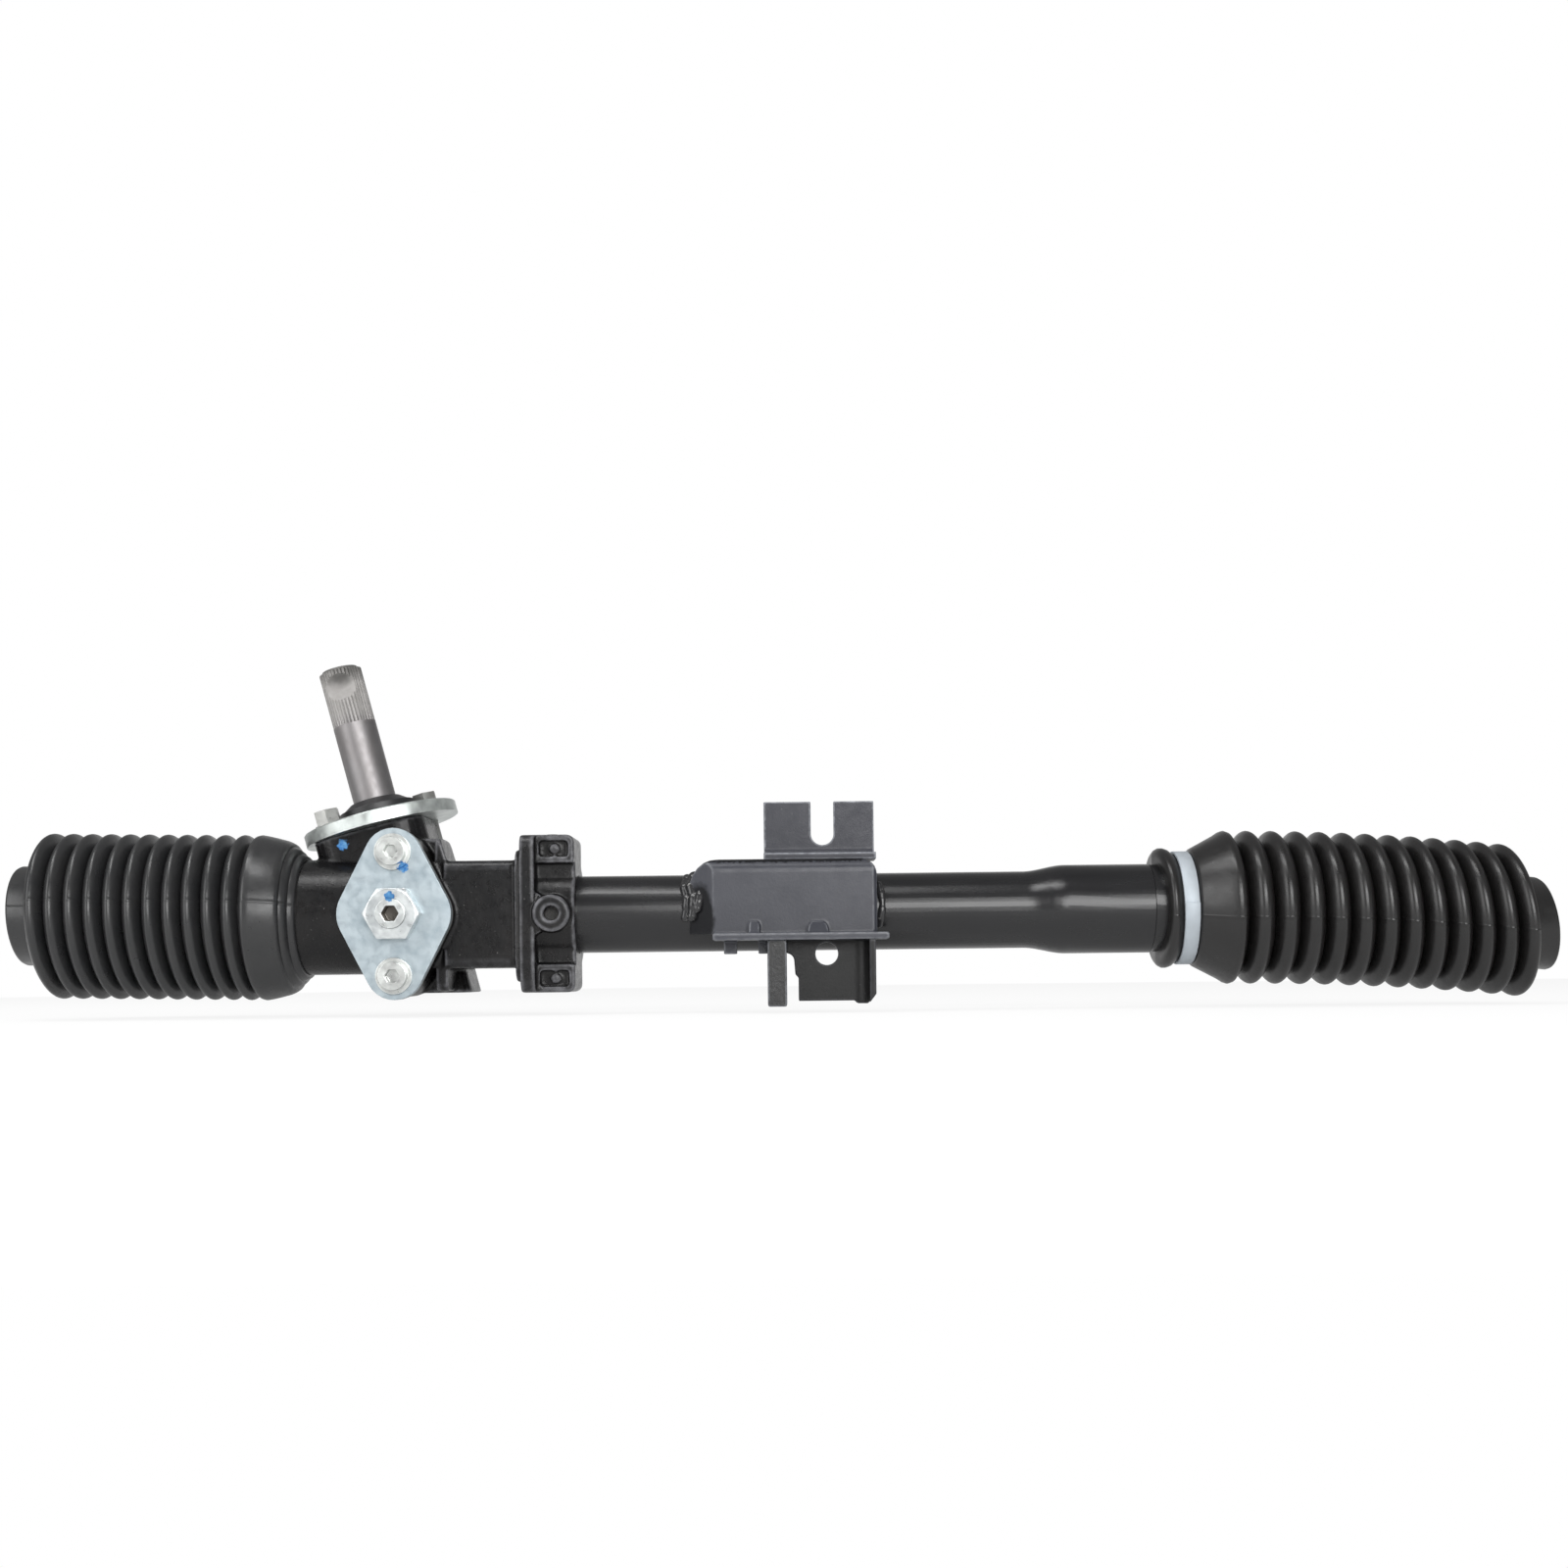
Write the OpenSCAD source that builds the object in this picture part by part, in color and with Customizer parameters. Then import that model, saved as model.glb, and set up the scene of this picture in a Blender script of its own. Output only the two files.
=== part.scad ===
// Manual rack-and-pinion steering gear, lying along X
// The origin is on the rack's axis, in the middle of the clamp seat on the flared end of the tube.
// +X runs to the tube's end, +Y to the back, where the rack's teeth are, and +Z up to the input shaft.

/* [Rack] */
// Diameter of the rack bar
rack_d = 24; // [23:0.25:24.5]
// Length of the rack that stands out of the tube when it is centred
rack_out = 66; // [62:1:68]
// Length of the rack that stands out of the casting when it is centred
rack_out_left = 68; // [64:1:72]
// Slide of the rack to each side of its middle
rack_travel = 60; // [50:1:62]
// Chamfer round each end of the rack
rack_chamfer = 1.2; // [0.5:0.1:2]
// Diameter of the threaded hole in each end of the rack
rack_thread_d = 13; // [10:0.5:15]
// Depth of the threaded hole in each end of the rack
rack_thread_len = 28; // [15:1:40]

/* [Teeth] */
// Number of teeth on the pinion
teeth = 7; // [6:1:8]
// Module of the teeth, across their own direction
tooth_module = 1.9; // [1.8:0.05:2]
// Pressure angle of the teeth
pressure_angle = 25; // [24:0.5:27]
// Profile shift of the pinion, as a share of the module
profile_shift = 0.4; // [0.38:0.01:0.42]
// Thickness taken off each rack tooth for backlash
backlash = 0.14; // [0.12:0.01:0.3]
// Height of the rack's tooth tips over the rack's axis
tooth_top_y = 9.5; // [9:0.1:10]
// Space between a tooth tip and the root that it runs in
tip_gap = 0.35; // [0.3:0.05:0.5]

/* [Pinion shaft] */
// Place of the pinion along the rack, from the clamp seat
pinion_x = -295; // [-300:0.5:-290]
// Lean of the input shaft away from upright, towards the left
tilt = 14.6; // [12:0.1:16]
// Length of the toothed part of the pinion
gear_len = 23; // [22:0.5:24]
// Diameter of the input shaft
shaft_d = 18; // [16:0.5:18.5]
// Height of the shaft's end over the rack's axis, measured along the shaft
shaft_top = 109.5; // [95:0.5:120]
// Diameter of the serrations over their tips
spline_d = 17.8; // [15.5:0.1:18.4]
// Length of the serrated end
spline_len = 24.4; // [20:0.1:28]
// Number of serrations
spline_count = 36; // [30:1:44]
// Depth of the serrations
spline_depth = 0.45; // [0.4:0.05:0.8]
// Radius of the groove for the clamp bolt
notch_r = 7.4; // [4:0.1:8]
// Depth of the groove for the clamp bolt
notch_depth = 2.6; // [1.5:0.1:3]
// Distance of that groove's middle from the shaft's end
notch_from_end = 8.7; // [7:0.1:10]
// Diameter of the lower journal
journal_d = 12; // [11:0.5:13]
// Length of the lower journal
journal_len = 14; // [12:0.5:15]
// Collar under the upper bearing
collar_d = 20; // [19:0.5:20.5]

/* [Pinion bearings] */
// Outer diameter of the upper bearing
bearing_d = 35; // [34:0.5:38]
// Width of the upper bearing
bearing_w = 10; // [9:0.5:11]
// Height of the bearing's lower face over the rack's axis, along the shaft
bearing_z = 16.4; // [16:0.1:18]
// Balls in the upper bearing
ball_count = 9; // [7:1:10]
// Diameter of the balls
ball_d = 4.7; // [4.2:0.1:4.9]
// Wall of the lower bush
bush_wall = 2; // [1.5:0.1:2.5]

/* [Pinion cover] */
// Diameter of the round cover plate
plate_d = 65; // [62:0.5:68]
// Thickness of the round cover plate
plate_t = 5.3; // [4:0.1:6]
// Height of the tower's top face over the rack's axis, along the shaft
tower_top = 38.5; // [37:0.1:40]
// Distance between the two plate bolts
plate_bolt_span = 46; // [45:0.5:48]
// Turn of the plate bolts about the shaft, the left one to the front
plate_bolt_turn = 37; // [20:1:40]
// Diameter of the plate bolts
plate_bolt_d = 6; // [5:0.5:6.5]
// Width of the plate bolts' heads across their flats, and their height
plate_bolt_af = 9.5; // [8:0.1:10]
plate_bolt_head = 7.2; // [4:0.1:8]
// Length of the plate bolts' thread in the casting
plate_bolt_in = 11; // [8:0.5:12]
// Diameter of the black dust cap
cap_d = 32; // [30:0.2:33]
// Height of the dust cap's collar and of its cone
cap_h = 5; // [3:0.1:6]
cap_cone_h = 3; // [2:0.1:5]

/* [Casting] */
// Diameter of the spigot that carries the left boot
spigot_d = 48; // [46:0.5:50]
// Left end of the casting
casting_left_x = -356.5; // [-360:0.5:-352]
// Height of the casting's underside below the rack's axis
casting_bottom = 32; // [31:0.1:34]
// Height of the body between the tower and the block over the rack's axis
body_top = 32; // [24:0.5:36]
// Left face of the square clamp block, and its length
block_x = -271.5; // [-273:0.1:-270]
block_len = 28.5; // [26:0.1:30]
// Side of the square clamp block
block_size = 44; // [42:0.5:45]
// Thickness of the flange on the left of the block
left_flange_t = 4.9; // [4:0.1:6]
// Height of the left flange and of the right flange
left_flange_h = 62.4; // [60:0.2:64]
flange_h = 64.4; // [62:0.2:67]
// Taper of the left flange at its top right
left_flange_taper = 2.7; // [1:0.1:4]
// Depth of the left flange and of the right flange from front to back
left_flange_depth = 24; // [22:0.5:28]
right_flange_depth = 52; // [48:0.5:56]
// Thickness of the flange on the right of the block, and of the low step beside it
right_flange_t = 5.9; // [5:0.1:8]
flange_step_t = 1.5; // [1:0.1:2]
// Diameter and length of the barrel around the tube
barrel_d = 43; // [40:0.5:44]
barrel_len = 16; // [14:0.1:18]
// Height of the lugs over and under that barrel
lug_h = 11.5; // [9:0.1:13]
// Depth of the cored pocket in each lug, and the wall round it
lug_pocket = 2; // [1:0.1:4]
lug_wall = 2.4; // [2:0.1:3]
// Distance of the tube pin from the right flange
pin_from_flange = 7; // [6.5:0.1:8]
// Outer diameter of the boss for the tube pin, and how far its face stands in front of the rack's axis
pin_boss_d = 15.2; // [12:0.1:16]
pin_boss_y = 26; // [25:0.5:28]
// Diameter of the tube pin
tube_pin_d = 6; // [5:0.1:7]
// How far the tube pin stands out of the tube
tube_pin_out = 4; // [3:0.1:5]
// Clearance between the rack and the bores of the casting and the tube
casting_bore_gap = 1.5; // [1:0.1:2]

/* [Yoke] */
// How far the yoke stands to the right of the pinion's axis
yoke_offset = 4.9; // [0:0.1:6]
// Diameter of the yoke
yoke_d = 28; // [26:0.5:29]
// Distance of the casting's yoke face from the rack's axis
yoke_face = 30.5; // [29:0.5:33]
// Width and height of the diamond cover over its rounded corners
cover_w = 45.8; // [44:0.2:50]
cover_h = 68.8; // [68:0.2:74]
// Corner radius of the diamond cover at its top and bottom, and at its sides
cover_end_r = 11.5; // [10:0.1:13]
cover_side_r = 14; // [12:0.1:16]
// Thickness of the diamond cover and of the gasket under it
cover_t = 4.5; // [3.5:0.1:6]
gasket_t = 0.5; // [0.3:0.1:1]
// Distance between the two cover screws
cover_screw_span = 49.6; // [48:0.2:50]
// Diameter of the cover screws, and the length of their thread in the casting
cover_screw_d = 8; // [6:0.5:8]
cover_screw_in = 13; // [10:1:15]
// Diameter of the adjuster screw
adjuster_d = 12; // [10:0.5:13]
// Width of the lock nut across its flats, and its height
lock_nut_af = 20; // [18:0.5:22]
lock_nut_h = 6; // [5:0.5:8]

/* [Tube] */
// Outer diameter of the tube
tube_d = 32; // [31:0.25:33]
// Wall of the tube, the same along its flare
tube_wall = 2.3; // [2:0.1:2.7]
// Outer diameter of the clamp seat
seat_d = 37; // [36:0.25:38]
// Length of the clamp seat
seat_len = 36; // [32:0.5:38]
// Length of the flare in front of the clamp seat
flare_len = 11; // [8:0.5:14]
// Length of the end that carries the right boot
boot_land_len = 19.5; // [18:0.5:24]
// Step from the clamp seat down to that end
boot_land_step = 0.3; // [0.2:0.1:0.6]
// Length of the tube inside the casting
tube_socket_len = 45; // [38:0.5:48]
// Length of the bush in the tube's end
rack_bush_len = 26; // [20:0.5:30]

/* [Bracket] */
// Left and right ends of the pressed channel
channel_left_x = -173; // [-176:0.5:-168]
channel_right_x = -96.2; // [-98:0.1:-94]
// Sheet thickness of the channel
channel_t = 2.6; // [2:0.1:3]
// Distance of the channel's front face from the tube's axis
channel_front = 22; // [20.5:0.1:24]
// Distance of the channel's top face from the tube's axis
channel_top = 21.4; // [20.5:0.1:24]
// Radius of the channel's pressed edge along its top, and of the rounding at its left and right top corners
channel_edge_r = 5.5; // [4:0.1:6]
channel_left_r = 12; // [9:0.5:14]
channel_right_r = 7; // [5:0.5:9]
// Distance of the channel's back face from the tube's axis
channel_back = 18.8; // [18.7:0.1:21]
// Depth of the front face below the tube's axis
channel_drop = 9.2; // [8:0.1:11]
// Thickness of the forward flange, and how far it stands forward
shelf_t = 2.8; // [2.4:0.1:3.2]
shelf_out = 11; // [9:0.5:14]
// Left end of the forward flange, and its length
shelf_x = -163; // [-164:0.5:-162]
shelf_len = 71; // [68:0.5:72]
// Distance of the two pressed darts from the left end of the channel
dart_at = 26.6; // [24:0.1:28]
wide_dart_at = 52.5; // [50:0.1:54]
// Width and height of the darts
dart_w = 4.4; // [3:0.1:6]
dart_h = 5.6; // [4:0.1:7]
wide_dart_w = 8.4; // [7:0.1:10]
wide_dart_h = 5.4; // [4:0.1:7]
// Distance of the two small lugs from the left end of the channel, and their widths
lug_at = 14.1; // [12:0.1:16]
lug_w = 5.4; // [4:0.1:7]
small_lug_at = 28.2; // [26:0.1:29]
small_lug_w = 3.7; // [3:0.1:5]
// How far those lugs hang below the channel
lug_drop = 8.2; // [6:0.1:9]
// Left side of the slotted tab, and its width
tab_x = -142.4; // [-144:0.1:-141]
tab_w = 46.5; // [45:0.1:48]
// Height of the tab's top over the tube's axis
tab_top = 47; // [44:0.1:50]
// Sheet thickness of the tab
tab_t = 3; // [2.5:0.1:4]
// Distance of the tab's front face behind the tube's axis
tab_y = 8; // [6:0.5:10]
// Middle of the slot from the tab's left side
slot_at = 24.7; // [23:0.1:26]
// Width of the slot
slot_w = 9.6; // [8:0.1:11]
// Height of the slot's bottom over the tube's axis
slot_bottom = 28.6; // [27:0.1:30]
// Left side of the post, its width and its depth
post_x = -141.1; // [-142:0.1:-140]
post_w = 7.8; // [6:0.1:9]
post_depth = 9; // [7:0.1:11]
// Distance of the post's foot below the tube's axis
post_drop = 38.9; // [36:0.1:42]
// Left side of the hanger plate, and its width
hanger_x = -129.9; // [-131:0.1:-129]
hanger_w = 32.4; // [31:0.1:34]
// Distance of the hanger plate's foot below the tube's axis
hanger_drop = 36.8; // [34:0.1:40]
// Radius of the hanger's bend, and how far its bent edge stands forward
hanger_bend_r = 8; // [5:0.5:9]
hanger_forward = 11; // [9:0.5:13]
// Radius of the weld beads
weld_r = 1.8; // [1.2:0.1:2.4]
// Place of the hanger's hole from its left side, and its distance below the tube's axis
hanger_hole_at = 12.9; // [12:0.1:14]
hanger_hole_drop = 17.7; // [17:0.1:20]
// Diameter of the hanger's hole
hanger_hole_d = 9.2; // [8:0.1:10]

/* [Boots] */
// Wall of both boots
boot_wall = 1.5; // [1.2:0.1:1.8]
// Diameter of the left boot over its folds, and in its grooves
left_crest_d = 69; // [66:0.5:72]
left_groove_d = 54; // [52:0.5:57]
// Folds on the left boot
left_folds = 11; // [8:1:13]
// Distance from fold to fold on the left boot
left_pitch = 7.9; // [7:0.1:8.1]
// Outer diameter and length of the left boot's neck
left_neck_d = 41.5; // [40:0.5:43]
left_neck_len = 11.2; // [8:0.1:12]
// Length of the left boot's cuff on the spigot, and of the smooth band beside it
left_cuff_len = 7.5; // [6:0.5:9]
left_band_len = 13.6; // [12:0.1:16]
// Diameter of the right boot over its folds, and in its grooves
right_crest_d = 66; // [63:0.5:69]
right_groove_d = 51; // [49:0.5:54]
// Folds on the right boot
right_folds = 13; // [9:1:14]
// Distance from fold to fold on the right boot
right_pitch = 9.5; // [9:0.1:10]
// Outer diameter and length of the right boot's neck
right_neck_d = 39; // [38:0.5:42]
right_neck_len = 10; // [8:0.5:12]
// Outer diameter and length of the right boot's lip
lip_d = 50; // [48:0.5:52]
lip_len = 10.5; // [8:0.5:12]
// Width and thickness of the band clamp
clamp_w = 5.5; // [4:0.5:7]
clamp_t = 1; // [0.8:0.1:1.5]
// Outer diameter of the right boot under the band clamp
clamp_seat_d = 45; // [44:0.5:46]
// Length of the right boot's cone
cone_len = 15; // [13:0.5:18]
// Sag of the right boot, as an angle
sag = 3.8; // [0:0.1:5]

/* [Fits] */
// Radial clearance of the parts that turn or slide
running = 0.05; // [0.03:0.01:0.09]
// Radial clearance of the parts that are pressed or screwed together
seat_gap = 0.02; // [0.01:0.01:0.05]

/* [Hidden] */
$fn = 64;
far = 200;
rack_r = rack_d / 2;

pitch_r = tooth_module * teeth / 2;
base_r = pitch_r * cos(pressure_angle);
tip_r = pitch_r + 1.08 * tooth_module;
rack_tip_to_axis = pitch_r + (profile_shift - 1) * tooth_module;
root_r = rack_tip_to_axis - tip_gap;
tooth_pitch = PI * tooth_module;
pinion_y = tooth_top_y + rack_tip_to_axis;
ref_y = tooth_top_y - tooth_module;
rack_root_y = pinion_y - tip_r - tip_gap;
side_teeth = ceil((rack_travel * cos(tilt) + tip_r + 2) / tooth_pitch - 0.5);

rack_right_x = seat_len / 2 + boot_land_len + rack_out;
rack_left_x = casting_left_x - rack_out_left;
tube_right_x = seat_len / 2 + boot_land_len;
block_right_x = block_x + block_len;
flange_x = block_right_x + flange_step_t;
barrel_x = flange_x + right_flange_t;
barrel_right_x = barrel_x + barrel_len;
tube_left_x = barrel_right_x - tube_socket_len;
pin_x = barrel_x + pin_from_flange;
bore_r = rack_r + casting_bore_gap;
yoke_x = pinion_x + yoke_offset;
gasket_y = -yoke_face - gasket_t;
cover_y = gasket_y - cover_t;
yoke_front = yoke_face + gasket_t - 0.2;
spring_pocket_y = -rack_r - 6.5;
spring_r = adjuster_d / 2 - 1.6;
spring_wire_r = 1;
adjuster_in_y = gasket_y + 0.5;
bearing_top = bearing_z + bearing_w;
plate_top = tower_top + plate_t;
seal_r = 14;

black_paint = "#1c1c1e";
zinc = "#cdd4da";
steel = "#8e8881";
rubber = "#2a2b2c";

function arc(c, r, a, b, n = 6) = [for (i = [0:n]) c + r * [cos(a + (b - a) * i / n), sin(a + (b - a) * i / n)]];

function box_outline(x0, x1, y0, y1, r) =
    concat(arc([x0 + r, y0 + r], r, 180, 270), arc([x1 - r, y0 + r], r, 270, 360),
           arc([x1 - r, y1 - r], r, 0, 90), arc([x0 + r, y1 - r], r, 90, 180));

function edge_normal(a, b) =
    atan2(b[1] - a[1], b[0] - a[0]) - acos((a[2] - b[2]) / norm([b[0] - a[0], b[1] - a[1]]));

function turn_from(a, b) = b < a ? turn_from(a, b + 360) : b;

// Outline drawn tight around circles given as [x, y, radius], counter-clockwise
function wrap_outline(c) = [for (i = [0:len(c) - 1])
    let (before = c[(i + len(c) - 1) % len(c)], after = c[(i + 1) % len(c)],
         from = edge_normal(before, c[i]), to = turn_from(from, edge_normal(c[i], after)))
    for (p = arc([c[i][0], c[i][1]], c[i][2], from, to, 10)) p];

function diamond(w, h, end_r, side_r) = wrap_outline([[w / 2 - side_r, 0, side_r], [0, h / 2 - end_r, end_r],
                                                      [side_r - w / 2, 0, side_r], [0, end_r - h / 2, end_r]]);

// Stands the drawing plane upright and extrudes it along X, with drawing x along Y and drawing y along Z
module along_x(x0, x1) translate([x0, 0, 0]) rotate([90, 0, 90]) linear_extrude(x1 - x0) children();

// Draws in the X-Z plane and extrudes from y0 back to y1
module along_y(y0, y1) translate([0, y1, 0]) rotate([90, 0, 0]) linear_extrude(y1 - y0) children();

module rod_x(r, x0, x1) translate([x0, 0, 0]) rotate([0, 90, 0]) cylinder(r = r, h = x1 - x0);

module rod_y(r, x, z, y0, y1) translate([x, y1, z]) rotate([90, 0, 0]) cylinder(r = r, h = y1 - y0);

module revolve_x(points) rotate([90, 0, 90]) rotate_extrude() polygon(points);

module on_pinion() translate([pinion_x, pinion_y, 0]) rotate([0, -tilt, 0]) children();

module at_plate_bolts() for (side = [0, 180]) rotate([0, 0, plate_bolt_turn + side])
    translate([plate_bolt_span / 2, 0, 0]) children();

module ring(r_out, r_in, z0, z1) translate([0, 0, z0]) difference() {
    cylinder(r = r_out, h = z1 - z0);
    translate([0, 0, -1]) cylinder(r = r_in, h = z1 - z0 + 2);
}

module hex_prism(af, h) cylinder(r = af / sqrt(3), h = h, $fn = 6);

// The cast housing

module pinion_tower() intersection() {
    union() {
        on_pinion() translate([0, 0, -8]) linear_extrude(tower_top + 8)
            polygon(box_outline(-26.5, 20.5, -24, 24, 11));
        on_pinion() translate([0, 0, -40]) linear_extrude(50)
            polygon(box_outline(-17, 20.5, -19, 20, 9));
        intersection() {
            translate([0, 0, -casting_bottom]) linear_extrude(casting_bottom + body_top)
                polygon(box_outline(pinion_x + 2, block_x - left_flange_t + 1, -8, 8, 3));
            on_pinion() translate([-50, -50, -80]) cube([100, 100, 80 + tower_top]);
        }
    }
    translate([-far, -far, -casting_bottom]) translate([pinion_x, 0, 0]) cube([2 * far, 2 * far, far]);
}

module yoke_boss() along_y(-yoke_face, 0) translate([yoke_x, 0])
    polygon(diamond(cover_w - 2, cover_h - 2, cover_end_r - 1, cover_side_r - 1));

// One of the two lugs, with its cored pocket and the pip in it
module clamp_lug(side) {
    foot = flange_h / 2 - lug_h;
    front = -20;
    corner = 3;
    mirror([0, 0, side]) {
        difference() {
            union() {
                along_y(front, 8) polygon(concat([[barrel_x - 0.5, foot], [barrel_right_x, foot]],
                    arc([barrel_right_x - corner, flange_h / 2 - corner], corner, 0, 90),
                    [[barrel_x - 0.5, flange_h / 2]]));
                along_y(front + 4, 4) translate([barrel_x - 0.5, foot - 6]) square([barrel_len + 0.5, 8]);
            }
            along_y(front - 1, front + lug_pocket) polygon(box_outline(barrel_x + lug_wall - 0.8,
                barrel_right_x - lug_wall, foot + lug_wall, flange_h / 2 - lug_wall, 1.5));
        }
        rod_y(2, (barrel_x + barrel_right_x) / 2, flange_h / 2 - lug_h / 2, front + 0.8, front + lug_pocket + 1);
    }
}

// The left flange, from its front face back, with its taper
module left_flange() {
    front = -20;
    back = front + left_flange_depth;
    top = left_flange_h / 2;
    intersection() {
        along_x(block_x - left_flange_t, block_x) polygon(box_outline(front, back, -top, top, 3));
        along_y(front, back) polygon([[block_x - left_flange_t - 1, -top], [block_x + 1, -top],
            [block_x + 1, block_size / 2], [block_x, block_size / 2], [block_x - left_flange_taper, top + 0.1],
            [block_x - left_flange_t - 1, top + 0.1]]);
    }
}

// The right flange with its step, and the barrel with its lugs and the web up to the pin's boss
module barrel_end() {
    web = 9.5;
    along_x(block_right_x - 0.5, flange_x + 0.1) polygon(box_outline(-23, 24, -27.7, 26, 5));
    along_x(flange_x, barrel_x)
        polygon(box_outline(-24, right_flange_depth - 24, -flange_h / 2, flange_h / 2, 5));
    rod_x(barrel_d / 2, block_right_x, barrel_right_x);
    clamp_lug(0);
    clamp_lug(1);
    translate([barrel_x + 6, -8, flange_h / 2 - 0.5]) cylinder(r = 3.2, h = 1.3);
    rod_y(pin_boss_d / 2, pin_x, 0, -pin_boss_y, 0);
    along_y(3 - pin_boss_y, 0)
        polygon([[barrel_x - 1, -web], [pin_x, -web / 2], [pin_x, web / 2], [barrel_x - 1, web]]);
}

module gear_housing() color(black_paint) difference() {
    union() {
        rod_x(spigot_d / 2, casting_left_x, block_x - left_flange_t);
        pinion_tower();
        yoke_boss();
        left_flange();
        along_x(block_x - 1, block_right_x)
            polygon(box_outline(-block_size / 2, block_size / 2, -block_size / 2, block_size / 2, 4));
        barrel_end();
    }
    rod_x(bore_r, casting_left_x - 1, barrel_right_x + 1);
    rod_x(tube_d / 2 + seat_gap, tube_left_x - seat_gap, barrel_right_x + 1);
    on_pinion() {
        translate([0, 0, -gear_len / 2 - 1]) cylinder(r = tip_r + 0.9, h = bearing_z + gear_len / 2 + 1);
        translate([0, 0, gear_len / 2 + 0.3]) cylinder(r = 13.2, h = bearing_z - gear_len / 2);
        translate([0, 0, bearing_z - seat_gap]) cylinder(r = bearing_d / 2, h = tower_top);
        translate([0, 0, -gear_len / 2 - journal_len - 1]) cylinder(r = journal_d / 2 + running + bush_wall, h = journal_len + 2);
        at_plate_bolts() translate([0, 0, tower_top - plate_bolt_in - 3])
            cylinder(r = plate_bolt_d / 2, h = plate_bolt_in + 9);
    }
    rod_y(yoke_d / 2, yoke_x, 0, -yoke_face - 1, 0);
    for (side = [-1, 1]) rod_y(cover_screw_d / 2, yoke_x, side * cover_screw_span / 2,
        -yoke_face - 1, -yoke_face + cover_screw_in + 2);
    rod_y(tube_pin_d / 2 + seat_gap, pin_x, 0, -far, -bore_r);
}

// The tube and what is in it

module steel_tube() color(black_paint) difference() {
    inner = seat_d / 2 - tube_wall;
    bore = tube_d / 2 - tube_wall;
    land = seat_d / 2 - boot_land_step;
    flare_x = -seat_len / 2 - flare_len;
    revolve_x([[bore, tube_left_x], [tube_d / 2, tube_left_x], [tube_d / 2, flare_x],
               [seat_d / 2, -seat_len / 2], [seat_d / 2, seat_len / 2], [land, seat_len / 2],
               [land, tube_right_x], [inner, tube_right_x], [inner, -seat_len / 2], [bore, flare_x]]);
    rod_y(tube_pin_d / 2 + seat_gap, pin_x, 0, -tube_d / 2 - 1, 0);
}

module tube_lock_pin() color(steel)
    rod_y(tube_pin_d / 2, pin_x, 0, -tube_d / 2 - tube_pin_out, tube_wall - tube_d / 2 - seat_gap);

module rack_bush() color("#d9d4c3") translate([tube_right_x - 3 - rack_bush_len, 0, 0]) rotate([0, 90, 0])
    ring(seat_d / 2 - tube_wall - seat_gap, rack_r + running, 0, rack_bush_len);

// The rack and the pinion

// Space over the rack's teeth, drawn across the teeth: the bar is cut to this profile
function tooth_half(y) = tooth_pitch / 4 - backlash / 2 - (y - ref_y) * tan(pressure_angle);

function rack_profile() = concat(
    [[-(side_teeth + 0.5) * tooth_pitch, rack_r + 1]], [[-(side_teeth + 0.5) * tooth_pitch, rack_root_y]],
    [for (i = [-side_teeth:side_teeth], p = [[-tooth_half(rack_root_y), rack_root_y],
        [-tooth_half(tooth_top_y), tooth_top_y], [tooth_half(tooth_top_y), tooth_top_y],
        [tooth_half(rack_root_y), rack_root_y]]) [i * tooth_pitch + p[0], p[1]]],
    [[(side_teeth + 0.5) * tooth_pitch, rack_root_y]], [[(side_teeth + 0.5) * tooth_pitch, rack_r + 1]]);

module rack_bar() color(steel) difference() {
    revolve_x([[0, rack_left_x], [rack_r - rack_chamfer, rack_left_x], [rack_r, rack_left_x + rack_chamfer],
               [rack_r, rack_right_x - rack_chamfer], [rack_r - rack_chamfer, rack_right_x], [0, rack_right_x]]);
    translate([pinion_x, 0, 0]) rotate([0, -tilt, 0]) translate([0, 0, -45]) linear_extrude(90)
        polygon(rack_profile());
    rod_x(rack_thread_d / 2, rack_right_x - rack_thread_len, rack_right_x + 1);
    rod_x(rack_thread_d / 2, rack_left_x - 1, rack_left_x + rack_thread_len);
}

function involute(r) = let (a = acos(base_r / r)) tan(a) * 180 / PI - a;

half_at_base = 90 / teeth + 2 * profile_shift * tan(pressure_angle) * 180 / PI / teeth + involute(pitch_r);

function flank(side) = [for (i = [0:6])
    let (r = base_r + (tip_r - base_r) * i / 6, a = side * (half_at_base - involute(r))) [r * cos(a), r * sin(a)]];

function backwards(v) = [for (i = [len(v) - 1:-1:0]) v[i]];

function spin(p, a) = [p[0] * cos(a) - p[1] * sin(a), p[0] * sin(a) + p[1] * cos(a)];

function gear_outline() = [for (i = [0:teeth - 1], p = concat(
    [[root_r * cos(half_at_base), -root_r * sin(half_at_base)]], flank(-1), backwards(flank(1)),
    [[root_r * cos(half_at_base), root_r * sin(half_at_base)]])) spin(p, -90 + (i + 0.5) * 360 / teeth)];

function spline_outline() = [for (i = [0:spline_count - 1], k = [[-0.22, 0], [0.22, 0], [0.5, spline_depth]])
    spin([spline_d / 2 - k[1], 0], (i + k[0]) * 360 / spline_count)];

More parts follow.
